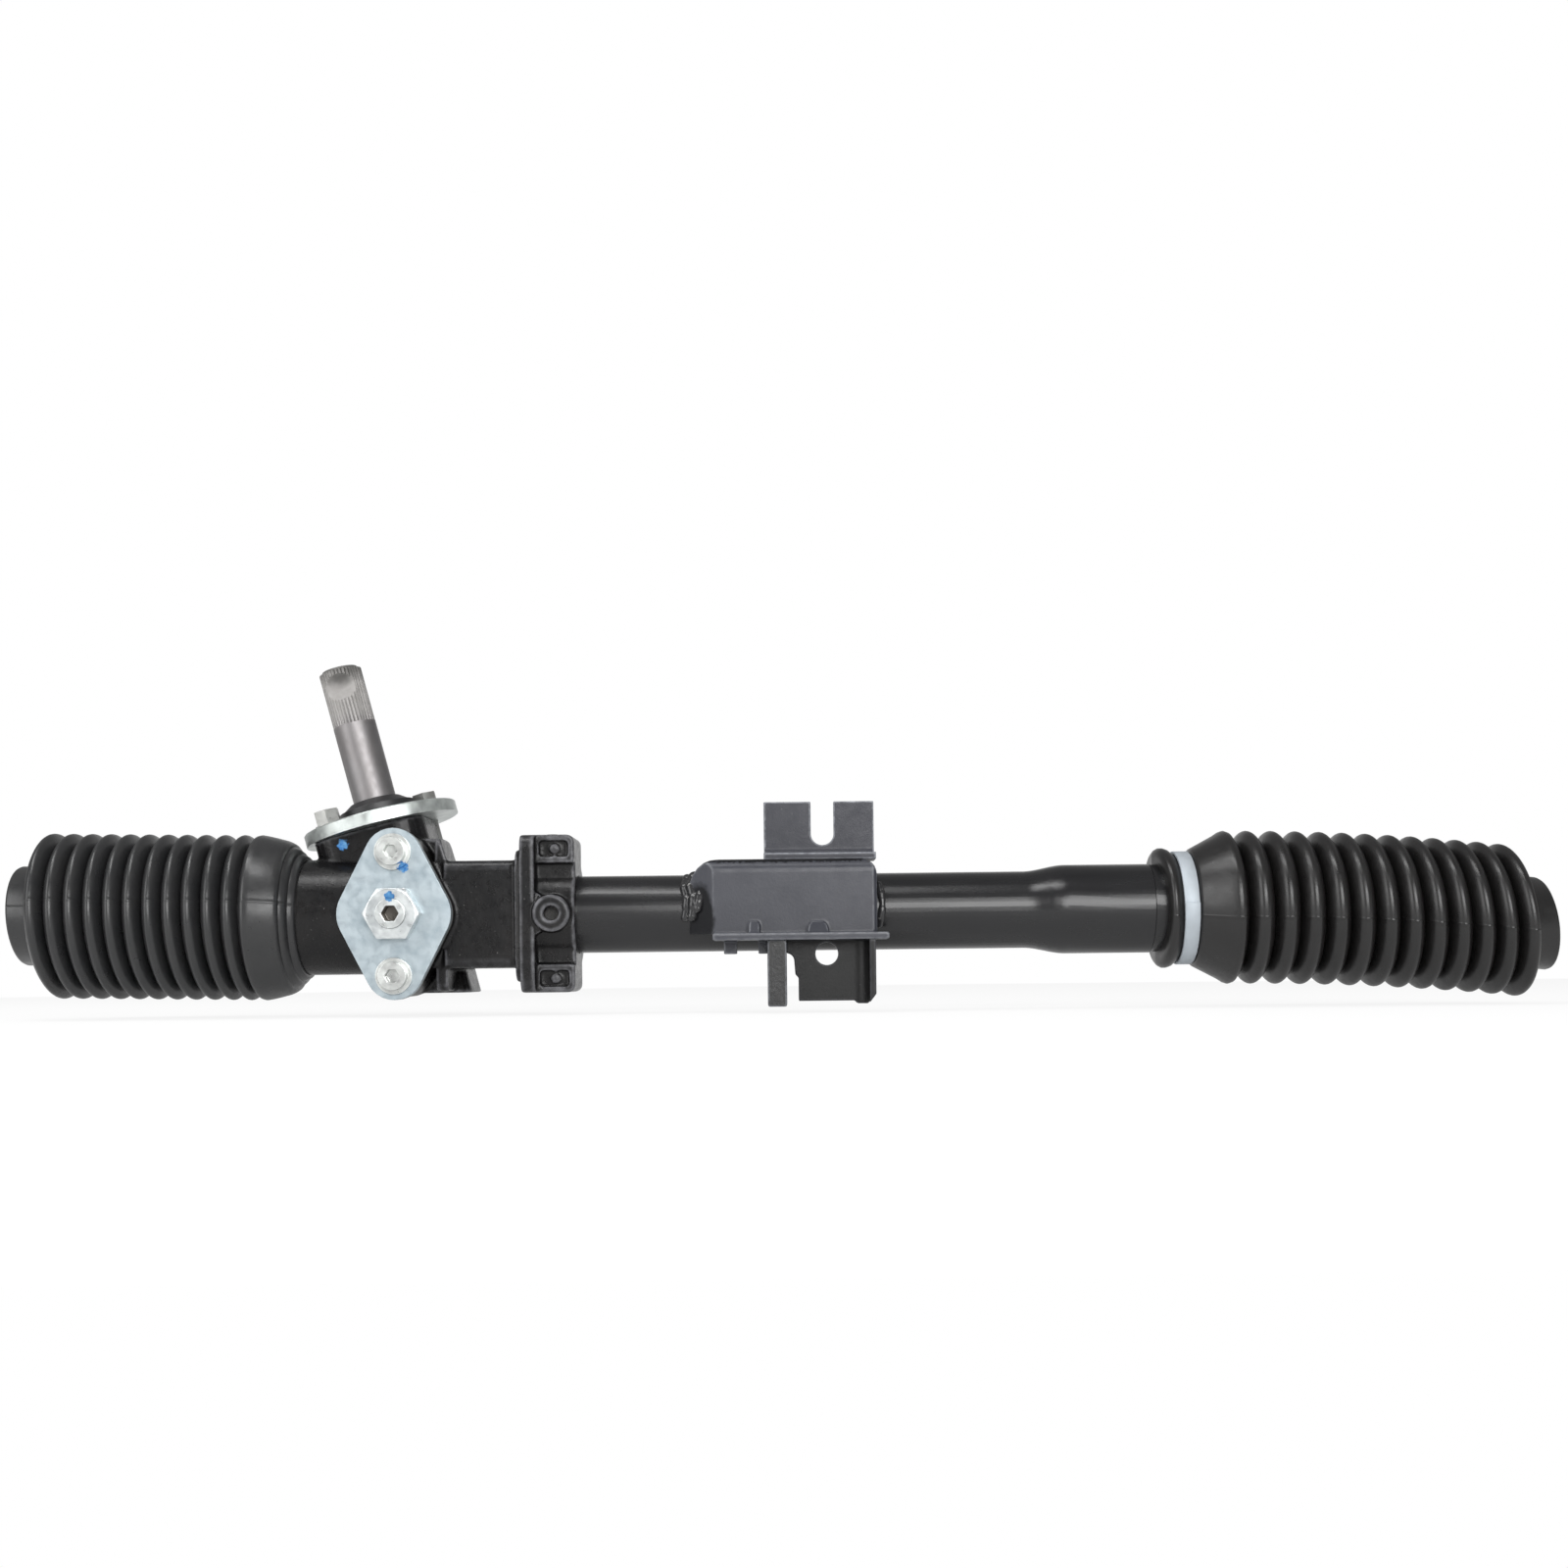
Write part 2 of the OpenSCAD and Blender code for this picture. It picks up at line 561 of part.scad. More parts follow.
module pinion_shaft() color(steel) on_pinion() {
    spline_z = shaft_top - spline_len;
    translate([0, 0, -gear_len / 2]) linear_extrude(gear_len) polygon(gear_outline());
    translate([0, 0, -gear_len / 2 - journal_len]) cylinder(r = journal_d / 2, h = journal_len + 0.5);
    translate([0, 0, gear_len / 2 - 0.5]) cylinder(r = shaft_d / 2 - 1.5, h = 2);
    translate([0, 0, gear_len / 2 + 1]) cylinder(r = collar_d / 2, h = bearing_z - gear_len / 2 - 1);
    difference() {
        union() {
            translate([0, 0, bearing_z - 0.5]) cylinder(r = shaft_d / 2, h = spline_z - bearing_z + 0.5);
            translate([0, 0, spline_z - 0.5]) linear_extrude(spline_len - 0.6) polygon(spline_outline());
            translate([0, 0, shaft_top - 1.6])
                cylinder(r1 = spline_d / 2 - spline_depth - 0.2, r2 = spline_d / 2 - spline_depth - 1.1, h = 1.6);
        }
        ring(shaft_d, shaft_d / 2 - 0.6, bearing_top + 0.05, bearing_top + 1.35);
        translate([-shaft_d, -spline_d / 2 + notch_depth - notch_r, shaft_top - notch_from_end])
            rotate([0, 90, 0]) cylinder(r = notch_r, h = 2 * shaft_d);
        translate([0, 0, shaft_top - 6]) cylinder(r = 2.2, h = 7);
        translate([0, 0, shaft_top - 0.8]) cylinder(r1 = 2.2, r2 = 3.2, h = 1);
    }
}

ball_track_r = (shaft_d + bearing_d) / 4;
groove_r = ball_d / 2 + 0.07;

module bearing_race(r_out, r_in) on_pinion() difference() {
    ring(r_out, r_in, bearing_z, bearing_top);
    translate([0, 0, bearing_z + bearing_w / 2]) rotate_extrude() translate([ball_track_r, 0]) circle(r = groove_r);
}

module bearing_inner_ring() color(steel) bearing_race(ball_track_r - ball_d * 0.34, shaft_d / 2 + seat_gap);

module bearing_outer_ring() color(steel) bearing_race(bearing_d / 2 - seat_gap, ball_track_r + ball_d * 0.34);

module bearing_balls() color("silver") on_pinion() for (i = [0:ball_count - 1])
    rotate([0, 0, i * 360 / ball_count]) translate([ball_track_r, 0, bearing_z + bearing_w / 2]) sphere(d = ball_d);

module bearing_circlip() color(steel) on_pinion() difference() {
    ring(shaft_d / 2 + 1.8, shaft_d / 2 - 0.55, bearing_top + 0.1, bearing_top + 1.3);
    translate([0, -2, bearing_top]) cube([20, 4, 2]);
}

module lower_bush() color("#b58a4a") on_pinion()
    ring(journal_d / 2 + running + bush_wall - seat_gap, journal_d / 2 + running,
         -gear_len / 2 - journal_len + 0.5, -gear_len / 2 - 1.2);

module pinion_oil_seal() color(rubber) on_pinion()
    ring(seal_r - seat_gap, shaft_d / 2 + running, tower_top - 5, plate_top - 0.05);

module pinion_cover_plate() color(zinc) on_pinion() difference() {
    union() {
        translate([0, 0, tower_top]) cylinder(r = plate_d / 2, h = plate_t - 0.5);
        translate([0, 0, plate_top - 0.51]) cylinder(r1 = plate_d / 2, r2 = plate_d / 2 - 0.5, h = 0.51);
        translate([0, 0, bearing_top + 0.05]) cylinder(r = bearing_d / 2 - seat_gap, h = tower_top - bearing_top);
    }
    translate([0, 0, bearing_top - 1]) cylinder(r = seal_r, h = far);
    at_plate_bolts() translate([0, 0, tower_top - 1]) cylinder(r = plate_bolt_d / 2 + 0.3, h = 20);
}

module pinion_cover_bolts() color(zinc) on_pinion() at_plate_bolts() translate([0, 0, plate_top]) {
    cylinder(r = plate_bolt_d, h = 1.2);
    hex_prism(plate_bolt_af, plate_bolt_head);
    translate([0, 0, -plate_t - plate_bolt_in]) cylinder(r = plate_bolt_d / 2 - seat_gap, h = plate_t + plate_bolt_in + 0.5);
}

module pinion_dust_cap() color(rubber) on_pinion() difference() {
    union() {
        translate([0, 0, plate_top]) cylinder(r = cap_d / 2, h = cap_h);
        translate([0, 0, plate_top + cap_h - 0.01])
            cylinder(r1 = cap_d / 2 - 1.2, r2 = shaft_d / 2 + 1.4, h = cap_cone_h);
    }
    translate([0, 0, plate_top - 1]) cylinder(r = shaft_d / 2 + running, h = 20);
}

// The yoke that presses the rack into the pinion

module support_yoke() color("#a7a9ab") difference() {
    rod_y(yoke_d / 2 - running, yoke_x, 0, -yoke_front, -3.5);
    rod_x(rack_r + running, yoke_x - far, yoke_x + far);
    rod_y(adjuster_d / 2, yoke_x, 0, -yoke_front - 1, spring_pocket_y);
}

spring_turns = 4;
spring_steps = 14;
spring_sides = 6;
spring_from = spring_pocket_y - spring_wire_r - 0.1;
spring_to = adjuster_in_y + spring_wire_r + 0.1;

function spring_point(i, k) = let (n = spring_turns * spring_steps, a = 360 * i / spring_steps,
    b = 360 * k / spring_sides, r = spring_r + spring_wire_r * cos(b))
    [yoke_x + r * cos(a), spring_from + (spring_to - spring_from) * i / n + spring_wire_r * sin(b), r * sin(a)];

module yoke_spring() color(steel) {
    n = spring_turns * spring_steps;
    s = spring_sides;
    polyhedron([for (i = [0:n], k = [0:s - 1]) spring_point(i, k)],
        concat([[for (k = [s - 1:-1:0]) k]], [[for (k = [0:s - 1]) n * s + k]],
               [for (i = [0:n - 1], k = [0:s - 1]) [i * s + k, i * s + (k + 1) % s, (i + 1) * s + (k + 1) % s]],
               [for (i = [0:n - 1], k = [0:s - 1]) [i * s + k, (i + 1) * s + (k + 1) % s, (i + 1) * s + k]]));
}

module yoke_cover_shape(y0, y1, centre_r) difference() {
    along_y(y0, y1) translate([yoke_x, 0]) polygon(diamond(cover_w, cover_h, cover_end_r, cover_side_r));
    rod_y(centre_r, yoke_x, 0, y0 - 1, y1 + 1);
    for (side = [-1, 1])
        rod_y(cover_screw_d / 2 + 0.3, yoke_x, side * cover_screw_span / 2, y0 - 1, y1 + 1);
}

module yoke_cover_gasket() color("#4a4640") yoke_cover_shape(gasket_y, -yoke_face, yoke_d / 2);

module yoke_cover() color(zinc) yoke_cover_shape(cover_y, gasket_y, adjuster_d / 2);

module yoke_cover_screws() color(zinc) for (side = [-1, 1])
    translate([yoke_x, cover_y, side * cover_screw_span / 2]) rotate([90, 0, 0]) difference() {
        union() {
            cylinder(r = cover_screw_d * 0.92, h = 1.4);
            cylinder(r = cover_screw_d * 0.7, h = 5);
            translate([0, 0, -cover_t - gasket_t - cover_screw_in])
                cylinder(r = cover_screw_d / 2 - seat_gap, h = cover_t + cover_screw_in + 1);
        }
        translate([0, 0, 1.8]) hex_prism(5, 4);
    }

module adjuster_screw() color(zinc) difference() {
    rod_y(adjuster_d / 2 - seat_gap, yoke_x, 0, cover_y - lock_nut_h - 1.2, adjuster_in_y);
    translate([yoke_x, cover_y - lock_nut_h - 1.3, 0]) rotate([-90, 0, 0]) hex_prism(6, 6);
}

module adjuster_lock_nut() color(zinc) translate([yoke_x, cover_y, 0]) rotate([90, 0, 0]) difference() {
    intersection() {
        hex_prism(lock_nut_af, lock_nut_h);
        union() {
            cylinder(r = lock_nut_af / sqrt(3) + 1, h = lock_nut_h - 1.2);
            translate([0, 0, lock_nut_h - 1.21])
                cylinder(r1 = lock_nut_af / sqrt(3) + 0.4, r2 = lock_nut_af / 2 - 0.5, h = 1.21);
        }
    }
    translate([0, 0, -1]) cylinder(r = adjuster_d / 2, h = lock_nut_h + 2);
}

// The welded bracket

// Pressed form of the channel, shrunk by inset on every face for its inside
module channel_form(inset) {
    front = -channel_front + inset;
    left = channel_left_x + inset;
    right = channel_right_x - inset;
    bottom = -channel_drop - 1;
    // The front face stops short of the left end, which slants back to the tube
    face_left = shelf_x + inset;
    slant_y = 6.5;
    intersection() {
        along_x(left, right)
            polygon(concat([[channel_back - inset, bottom], [channel_back - inset, channel_top - inset]],
                arc([-channel_front + channel_edge_r, channel_top - channel_edge_r], channel_edge_r - inset, 90, 180),
                [[front, bottom]]));
        along_y(-far, far) polygon(concat([[left, bottom], [right, bottom]],
            arc([channel_right_x - channel_right_r, channel_top - channel_right_r], channel_right_r - inset, 0, 90),
            arc([channel_left_x + channel_left_r, channel_top - channel_left_r], channel_left_r - inset, 90, 180)));
        translate([0, 0, -far / 2]) linear_extrude(far)
            polygon([[left, front + slant_y + inset], [face_left, front], [right - 1.5, front], [right, front + 1.5],
                     [right, channel_back - inset], [left, channel_back - inset]]);
    }
}

// A gusset pressed out of the bend between the front face and the forward flange
module dart(x, w, h) intersection() {
    along_x(x - w / 2, x + w / 2)
        polygon([[-channel_front + 0.5, -channel_drop - 0.5], [-channel_front + 0.5, -channel_drop + h],
                 [-channel_front - h, -channel_drop - 0.5]]);
    along_y(-channel_front - h, 1 - channel_front) polygon(concat([[x + w / 2, -channel_drop - 0.5]],
        arc([x, -channel_drop + h - w / 2], w / 2, 0, 180), [[x - w / 2, -channel_drop - 0.5]]));
}

module bracket_channel() color(black_paint) difference() {
    union() {
        difference() {
            channel_form(0);
            channel_form(channel_t);
            translate([channel_left_x - 1, -far, -far]) cube([far, 2 * far, far - channel_drop]);
            translate([channel_left_x - 1, 4, -far]) cube([far, far, far + 2]);
        }
        along_y(-channel_front - shelf_out, -channel_front + channel_t)
            polygon(box_outline(shelf_x, shelf_x + shelf_len, -channel_drop - shelf_t, -channel_drop, 0.6));
        dart(channel_left_x + dart_at, dart_w, dart_h);
        dart(channel_left_x + wide_dart_at, wide_dart_w, wide_dart_h);
        for (lug = [[lug_at, lug_w], [small_lug_at, small_lug_w]])
            translate([channel_left_x + lug[0], -channel_front + channel_t, -channel_drop - lug_drop])
                cube([lug[1], 3, lug_drop + 0.1]);
    }
    rod_x(tube_d / 2 + seat_gap, channel_left_x - 1, channel_right_x + 1);
}

module bracket_slot_tab() color(black_paint) difference() {
    bend = 3;
    foot = channel_top;
    along_x(tab_x, tab_x + tab_w) polygon(concat([[-9, foot], [tab_y + tab_t - bend - 1, foot]],
        arc([tab_y + tab_t - bend - 1, foot + bend + 1], bend + 1, 270, 360),
        [[tab_y + tab_t, tab_top], [tab_y, tab_top]],
        backwards(arc([tab_y - bend, foot + tab_t + bend], bend, 270, 360)), [[-9, foot + tab_t]]));
    slot_x = tab_x + slot_at;
    rod_y(slot_w / 2, slot_x, slot_bottom + slot_w / 2, tab_y - 4, tab_y + tab_t + 1);
    translate([slot_x - slot_w / 2, tab_y - 4, slot_bottom + slot_w / 2]) cube([slot_w, tab_t + 5, far]);
}

module bracket_post() color(black_paint) along_y(-channel_front - post_depth + 1, -channel_front + 1)
    polygon(box_outline(post_x, post_x + post_w, -post_drop, -channel_drop - shelf_t, 0.8));

module bracket_hanger() color(black_paint) difference() {
    top = -channel_drop - shelf_t;
    right = hanger_x + hanger_w;
    front = -channel_front;
    left = post_x + post_w;
    notch_top = top - 5.4;
    step_z = top - 14;
    step = 1.3;
    cut_r = hanger_x - left - 0.4;
    bend = [right - hanger_bend_r, front + channel_t - hanger_bend_r];
    union() {
        along_y(front, front + channel_t) polygon(concat([[left, top], [left, notch_top]],
            arc([left, notch_top - cut_r], cut_r, 90, 0), [[hanger_x, step_z], [hanger_x + step, step_z - step],
            [hanger_x + step, -hanger_drop], [bend[0], -hanger_drop], [bend[0], top]]));
        intersection() {
            translate([0, 0, -hanger_drop - 2]) linear_extrude(hanger_drop + top + 2) polygon(concat(
                arc(bend, hanger_bend_r, 90, 0),
                [[right, front - hanger_forward], [right - channel_t, front - hanger_forward]],
                backwards(arc(bend, hanger_bend_r - channel_t, 90, 0))));
            along_y(-far, far) polygon([[bend[0] - 1, top], [right + 1, top], [right + 1, 4 - hanger_drop],
                [right - 3, -hanger_drop - 1.2], [bend[0] + 1, -hanger_drop - 1.2], [bend[0] - 1, -hanger_drop]]);
        }
    }
    rod_y(hanger_hole_d / 2, hanger_x + hanger_hole_at, -hanger_hole_drop, front - 1, front + channel_t + 1);
}

module weld_bead(x, from, to, r) translate([x, 0, 0]) rotate([90, 0, 90]) rotate([0, 0, from])
    rotate_extrude(angle = to - from) translate([tube_d / 2 + r + seat_gap, 0]) circle(r = r, $fn = 24);

module bracket_welds() color(black_paint) {
    weld_bead(channel_left_x - weld_r - 0.1, 118, 192, weld_r);
    weld_bead(channel_right_x + weld_r + 0.1, 140, 205, weld_r);
}

// The boots

function fold_points(s0, pitch, n, crest, groove) = [for (i = [0:n - 1],
    p = [[0.1, 0.08], [0.22, 0.6], [0.32, 0.9], [0.44, 1], [0.56, 1], [0.68, 0.9], [0.78, 0.6], [0.9, 0.08]])
    [groove + (crest - groove) * p[1], s0 + (i + p[0]) * pitch]];

function fold_inside(s0, pitch, n, crest, groove) = [for (i = [0:n - 1],
    p = [[0, 0], [0.22, 0.08], [0.4, 0.75], [0.6, 0.75], [0.78, 0.08], [1, 0]])
    [groove - boot_wall + (crest - groove) * p[1], s0 + (i + p[0]) * pitch]];

function without_end(v) = [for (i = [0:len(v) - 3]) v[i]];

module left_boot() {
    mouth = spigot_d / 2 + seat_gap;
    crest = left_crest_d / 2;
    groove = left_groove_d / 2;
    folds_at = left_cuff_len + left_band_len;
    folds_end = folds_at + left_folds * left_pitch;
    neck_end = folds_end + left_neck_len;
    neck = left_neck_d / 2;
    step = left_cuff_len / 3;
    cuff_x = casting_left_x + 24;
    color(rubber) translate([cuff_x, 0, 0]) mirror([1, 0, 0]) revolve_x(concat(
        [[mouth, 0], [mouth + 1.1, 0], [mouth + 2.2, step - 0.3], [mouth + 3, step], [mouth + 4.2, 2 * step - 0.3],
         [mouth + 5, 2 * step], [mouth + 6.2, left_cuff_len]],
        [[crest - 2.6, left_cuff_len + 0.4], [crest - 1.4, folds_at - 10.5], [crest - 0.4, folds_at - 7.5],
         [crest, folds_at - 4.5], [crest - 0.4, folds_at - 2], [crest - 2.6, folds_at - 0.6], [groove + 0.6, folds_at]],
        fold_points(folds_at, left_pitch, left_folds, crest, groove),
        [[neck, folds_end], [neck, neck_end - 1], [neck - 1, neck_end], [neck - 3, neck_end],
         [neck - 3, folds_end - 1.2], [groove - boot_wall, folds_end - 2]],
        backwards(without_end(fold_inside(folds_at, left_pitch, left_folds, crest, groove))),
        [[crest - 3, folds_at - 3], [crest - 3, folds_at - 7], [mouth + 4.5, left_cuff_len + 2], [mouth, left_cuff_len + 2]]));
}

clamp_x = seat_len / 2 + lip_len + 0.4;
cone_x = clamp_x + clamp_w + 2;
cone_start_r = clamp_seat_d / 2 + 1.6;

// The folds of the right boot, turned down by its sag
module sagging() translate([cone_x, 0, 0]) rotate([0, sag, 0]) children();

module right_boot() color(rubber) {
    land = seat_d / 2 - boot_land_step + seat_gap;
    lip_r = lip_d / 2;
    crest = right_crest_d / 2;
    groove = right_groove_d / 2;
    folds_at = cone_len - 4.5;
    folds_end = folds_at + right_folds * right_pitch;
    neck_end = folds_end + right_neck_len;
    neck = right_neck_d / 2;
    lip_x = seat_len / 2 + 0.3;
    first_fold = fold_points(folds_at, right_pitch, 1, crest, groove);
    difference() {
        union() {
            revolve_x([[0, lip_x], [lip_r - 3, lip_x], [lip_r - 0.8, lip_x + 1.4], [lip_r, lip_x + 3.4],
                       [lip_r, lip_x + 6], [lip_r - 1, lip_x + 8.4], [clamp_seat_d / 2, clamp_x - 0.3],
                       [clamp_seat_d / 2, cone_x + 2.5], [0, cone_x + 2.5]]);
            sagging() revolve_x(concat([[0, 0], [cone_start_r, 0], [crest - 1.2, cone_len - 3], [crest, cone_len - 0.3]],
                [for (i = [4:7]) first_fold[i]],
                fold_points(folds_at + right_pitch, right_pitch, right_folds - 1, crest, groove),
                [[neck, folds_end], [neck, neck_end - 1], [neck - 1, neck_end], [0, neck_end]]));
        }
        rod_x(land, lip_x - 1, tube_right_x + 1);
        sagging() revolve_x(concat([[0, tube_right_x - cone_x - 1], [land - 1.5, tube_right_x - cone_x - 1],
            [land + 3.5, 4], [crest - 3.5, cone_len - 2]],
            without_end(fold_inside(folds_at + right_pitch, right_pitch, right_folds - 1, crest, groove)),
            [[groove - boot_wall, folds_end - 2.2], [neck - 3, folds_end - 1.2], [neck - 3, neck_end + 1],
             [0, neck_end + 1]]));
    }
}

module right_boot_clamp() color(zinc) translate([clamp_x, 0, 0]) rotate([90, 0, 90]) {
    r = clamp_seat_d / 2 + seat_gap;
    ring(r + clamp_t, r, 0, clamp_w);
    rotate([0, 0, 168]) rotate_extrude(angle = 24) translate([r + clamp_t - 0.01, 0.4]) square([clamp_t * 0.7, clamp_w - 0.8]);
}

gear_housing();
steel_tube();
tube_lock_pin();
rack_bush();
rack_bar();
pinion_shaft();
bearing_inner_ring();
bearing_balls();
bearing_outer_ring();
bearing_circlip();
lower_bush();
pinion_oil_seal();
pinion_cover_plate();
pinion_cover_bolts();
pinion_dust_cap();
support_yoke();
yoke_spring();
yoke_cover_gasket();
yoke_cover();
yoke_cover_screws();
adjuster_screw();
adjuster_lock_nut();
bracket_channel();
bracket_slot_tab();
bracket_post();
bracket_hanger();
bracket_welds();
left_boot();
right_boot();
right_boot_clamp();
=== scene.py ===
import math

import bmesh
import bpy
from mathutils import Matrix, Vector


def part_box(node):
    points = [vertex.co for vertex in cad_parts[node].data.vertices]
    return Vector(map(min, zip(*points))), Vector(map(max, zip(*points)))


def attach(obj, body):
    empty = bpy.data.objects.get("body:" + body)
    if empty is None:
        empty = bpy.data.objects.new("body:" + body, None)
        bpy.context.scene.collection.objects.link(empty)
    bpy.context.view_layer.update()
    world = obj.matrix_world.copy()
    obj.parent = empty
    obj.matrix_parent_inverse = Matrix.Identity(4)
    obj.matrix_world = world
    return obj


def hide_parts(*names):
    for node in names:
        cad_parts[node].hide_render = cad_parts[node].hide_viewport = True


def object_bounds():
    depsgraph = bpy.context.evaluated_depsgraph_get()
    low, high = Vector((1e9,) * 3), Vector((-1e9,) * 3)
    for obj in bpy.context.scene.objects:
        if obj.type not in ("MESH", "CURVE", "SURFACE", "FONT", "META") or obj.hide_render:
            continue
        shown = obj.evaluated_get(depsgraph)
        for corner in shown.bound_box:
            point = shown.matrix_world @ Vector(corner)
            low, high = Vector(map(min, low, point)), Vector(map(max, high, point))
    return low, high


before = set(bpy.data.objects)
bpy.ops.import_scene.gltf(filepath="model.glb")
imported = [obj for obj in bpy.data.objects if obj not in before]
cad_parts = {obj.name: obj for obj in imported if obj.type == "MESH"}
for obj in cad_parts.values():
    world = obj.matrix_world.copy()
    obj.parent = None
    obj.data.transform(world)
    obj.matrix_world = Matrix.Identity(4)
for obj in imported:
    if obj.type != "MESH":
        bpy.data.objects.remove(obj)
cad_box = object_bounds()
mm = 0.001

# Pinion housing: one grey iron sand casting, shot-blasted and dipped in black paint.
# The sand mould leaves its edges soft and its skin pebbled. A dot of blue inspection paint is on its tower.


def linked(name, mesh):
    """A new piece with that mesh. Every piece made here is fixed to the housing and rides on it."""
    piece = bpy.data.objects.new(name, mesh)
    bpy.context.collection.objects.link(piece)
    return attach(piece, "housing")


def shade_smooth(mesh):
    mesh.polygons.foreach_set("use_smooth", [True] * len(mesh.polygons))


def apply_modifiers(piece):
    """Turns the piece's modifiers into its mesh."""
    graph = bpy.context.evaluated_depsgraph_get()
    mesh = bpy.data.meshes.new_from_object(piece.evaluated_get(graph))
    piece.modifiers.clear()
    piece.data = mesh


def wrap_in_skin(piece, grain, passes):
    """Makes the piece one closed skin of that grain, its edges and corners rounded in that many passes."""
    skin = piece.modifiers.new("skin", "REMESH")
    skin.mode = "VOXEL"
    skin.voxel_size = grain
    rounding = piece.modifiers.new("rounding", "SMOOTH")
    rounding.factor = 0.5
    rounding.iterations = passes
    apply_modifiers(piece)
    shade_smooth(piece.data)


def soft_copy(node, name, grain, passes):
    """The frame's solid again, as a sand mould or a press leaves it: edges rounded and corners filled."""
    piece = linked(name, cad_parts[node].data.copy())
    weld = piece.modifiers.new("weld", "WELD")
    weld.merge_threshold = 0.01 * mm
    wrap_in_skin(piece, grain, passes)
    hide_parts(node)
    return piece


class Finish:
    """A material under construction: the shader, and the nodes that make a real surface uneven."""

    def __init__(self, name, colour, roughness, metallic=0.0):
        self.material = bpy.data.materials.new(name)
        self.material.use_nodes = True
        self.tree = self.material.node_tree
        self.shader = self.tree.nodes["Principled BSDF"]
        self.shader.inputs["Base Color"].default_value = (*colour, 1)
        self.shader.inputs["Roughness"].default_value = roughness
        self.shader.inputs["Metallic"].default_value = metallic
        self.place = self.tree.nodes.new("ShaderNodeTexCoord").outputs["Object"]
        self.bump = None

    def set(self, socket, value):
        self.shader.inputs[socket].default_value = value

    def feed(self, socket, value):
        """Gives a node's socket another node's output, a colour or a number."""
        if isinstance(value, bpy.types.NodeSocket):
            self.tree.links.new(value, socket)
        elif isinstance(value, tuple):
            socket.default_value = (*value, 1)
        else:
            socket.default_value = value

    def noise(self, size, detail=4.0, stretch=(1, 1, 1)):
        """Noise with lumps of about that size in metres.
        The stretch makes them longer or shorter along an axis, as drawing, turning or grinding does."""
        mapping = self.tree.nodes.new("ShaderNodeMapping")
        mapping.inputs["Scale"].default_value = [1 / (size * part) for part in stretch]
        self.tree.links.new(self.place, mapping.inputs["Vector"])
        texture = self.tree.nodes.new("ShaderNodeTexNoise")
        texture.inputs["Scale"].default_value = 1
        texture.inputs["Detail"].default_value = detail
        texture.inputs["Roughness"].default_value = 0.55
        self.tree.links.new(mapping.outputs["Vector"], texture.inputs["Vector"])
        return texture.outputs["Fac"]

    def spread(self, source, low, high, to_low, to_high):
        """Maps a stretch of a value on to another, without going past its ends."""
        node = self.tree.nodes.new("ShaderNodeMapRange")
        node.inputs["From Min"].default_value = low
        node.inputs["From Max"].default_value = high
        node.inputs["To Min"].default_value = to_low
        node.inputs["To Max"].default_value = to_high
        self.tree.links.new(source, node.inputs["Value"])
        return node.outputs["Result"]

    def wander(self, low, high, size, detail=4.0, stretch=(1, 1, 1)):
        """A value that wanders between two others, in lumps of about that size."""
        return self.spread(self.noise(size, detail, stretch), 0.3, 0.7, low, high)

    def colours(self, source, stops):
        """A ramp through colours, given as (position, colour)."""
        ramp = self.tree.nodes.new("ShaderNodeValToRGB")
        while len(ramp.color_ramp.elements) < len(stops):
            ramp.color_ramp.elements.new(0.5)
        for element, (position, colour) in zip(ramp.color_ramp.elements, stops):
            element.position = position
            element.color = (*colour, 1)
        self.tree.links.new(source, ramp.inputs["Fac"])
        return ramp.outputs["Color"]

    def mix(self, share, under, over):
        """One colour over another, by a share that is a value or a number."""
        node = self.tree.nodes.new("ShaderNodeMix")
        node.data_type = "RGBA"
        self.feed(node.inputs[0], share)
        self.feed(node.inputs[6], under)
        self.feed(node.inputs[7], over)
        return node.outputs[2]

    def calc(self, kind, first, second):
        """A sum of that kind, with values or numbers."""
        node = self.tree.nodes.new("ShaderNodeMath")
        node.operation = kind
        self.feed(node.inputs[0], first)
        self.feed(node.inputs[1], second)
        return node.outputs[0]

    def blob(self, centre, radius, ragged, squeeze=(1, 0.3, 1)):
        """1 inside a ragged patch about a point, 0 outside.
        Unless told otherwise it reaches far front to back, so that it looks round from the front."""
        away = self.tree.nodes.new("ShaderNodeVectorMath")
        away.operation = "SUBTRACT"
        self.tree.links.new(self.place, away.inputs[0])
        away.inputs[1].default_value = centre
        pressed = self.tree.nodes.new("ShaderNodeVectorMath")
        pressed.operation = "MULTIPLY"
        self.tree.links.new(away.outputs[0], pressed.inputs[0])
        pressed.inputs[1].default_value = squeeze
        size = self.tree.nodes.new("ShaderNodeVectorMath")
        size.operation = "LENGTH"
        self.tree.links.new(pressed.outputs[0], size.inputs[0])
        edge = self.calc("ADD", size.outputs["Value"], self.wander(-ragged, ragged, radius * 0.6, 3))
        return self.spread(edge, radius, radius * 0.8, 0, 1)

    def behind(self, front):
        """1 where the surface lies deeper than that, as seen from the front."""
        axes = self.tree.nodes.new("ShaderNodeSeparateXYZ")
        self.tree.links.new(self.place, axes.inputs[0])
        return self.spread(axes.outputs["Y"], front, front + 0.3 * mm, 0, 1)

    def lit_and_worn_edges(self, low, high):
        """1 on outward edges, 0 on the faces: where painted highlights go, and where paint draws thinner and
        wears.
        """
        geometry = self.tree.nodes.new("ShaderNodeNewGeometry")
        return self.spread(geometry.outputs["Pointiness"], low, high, 0, 1)

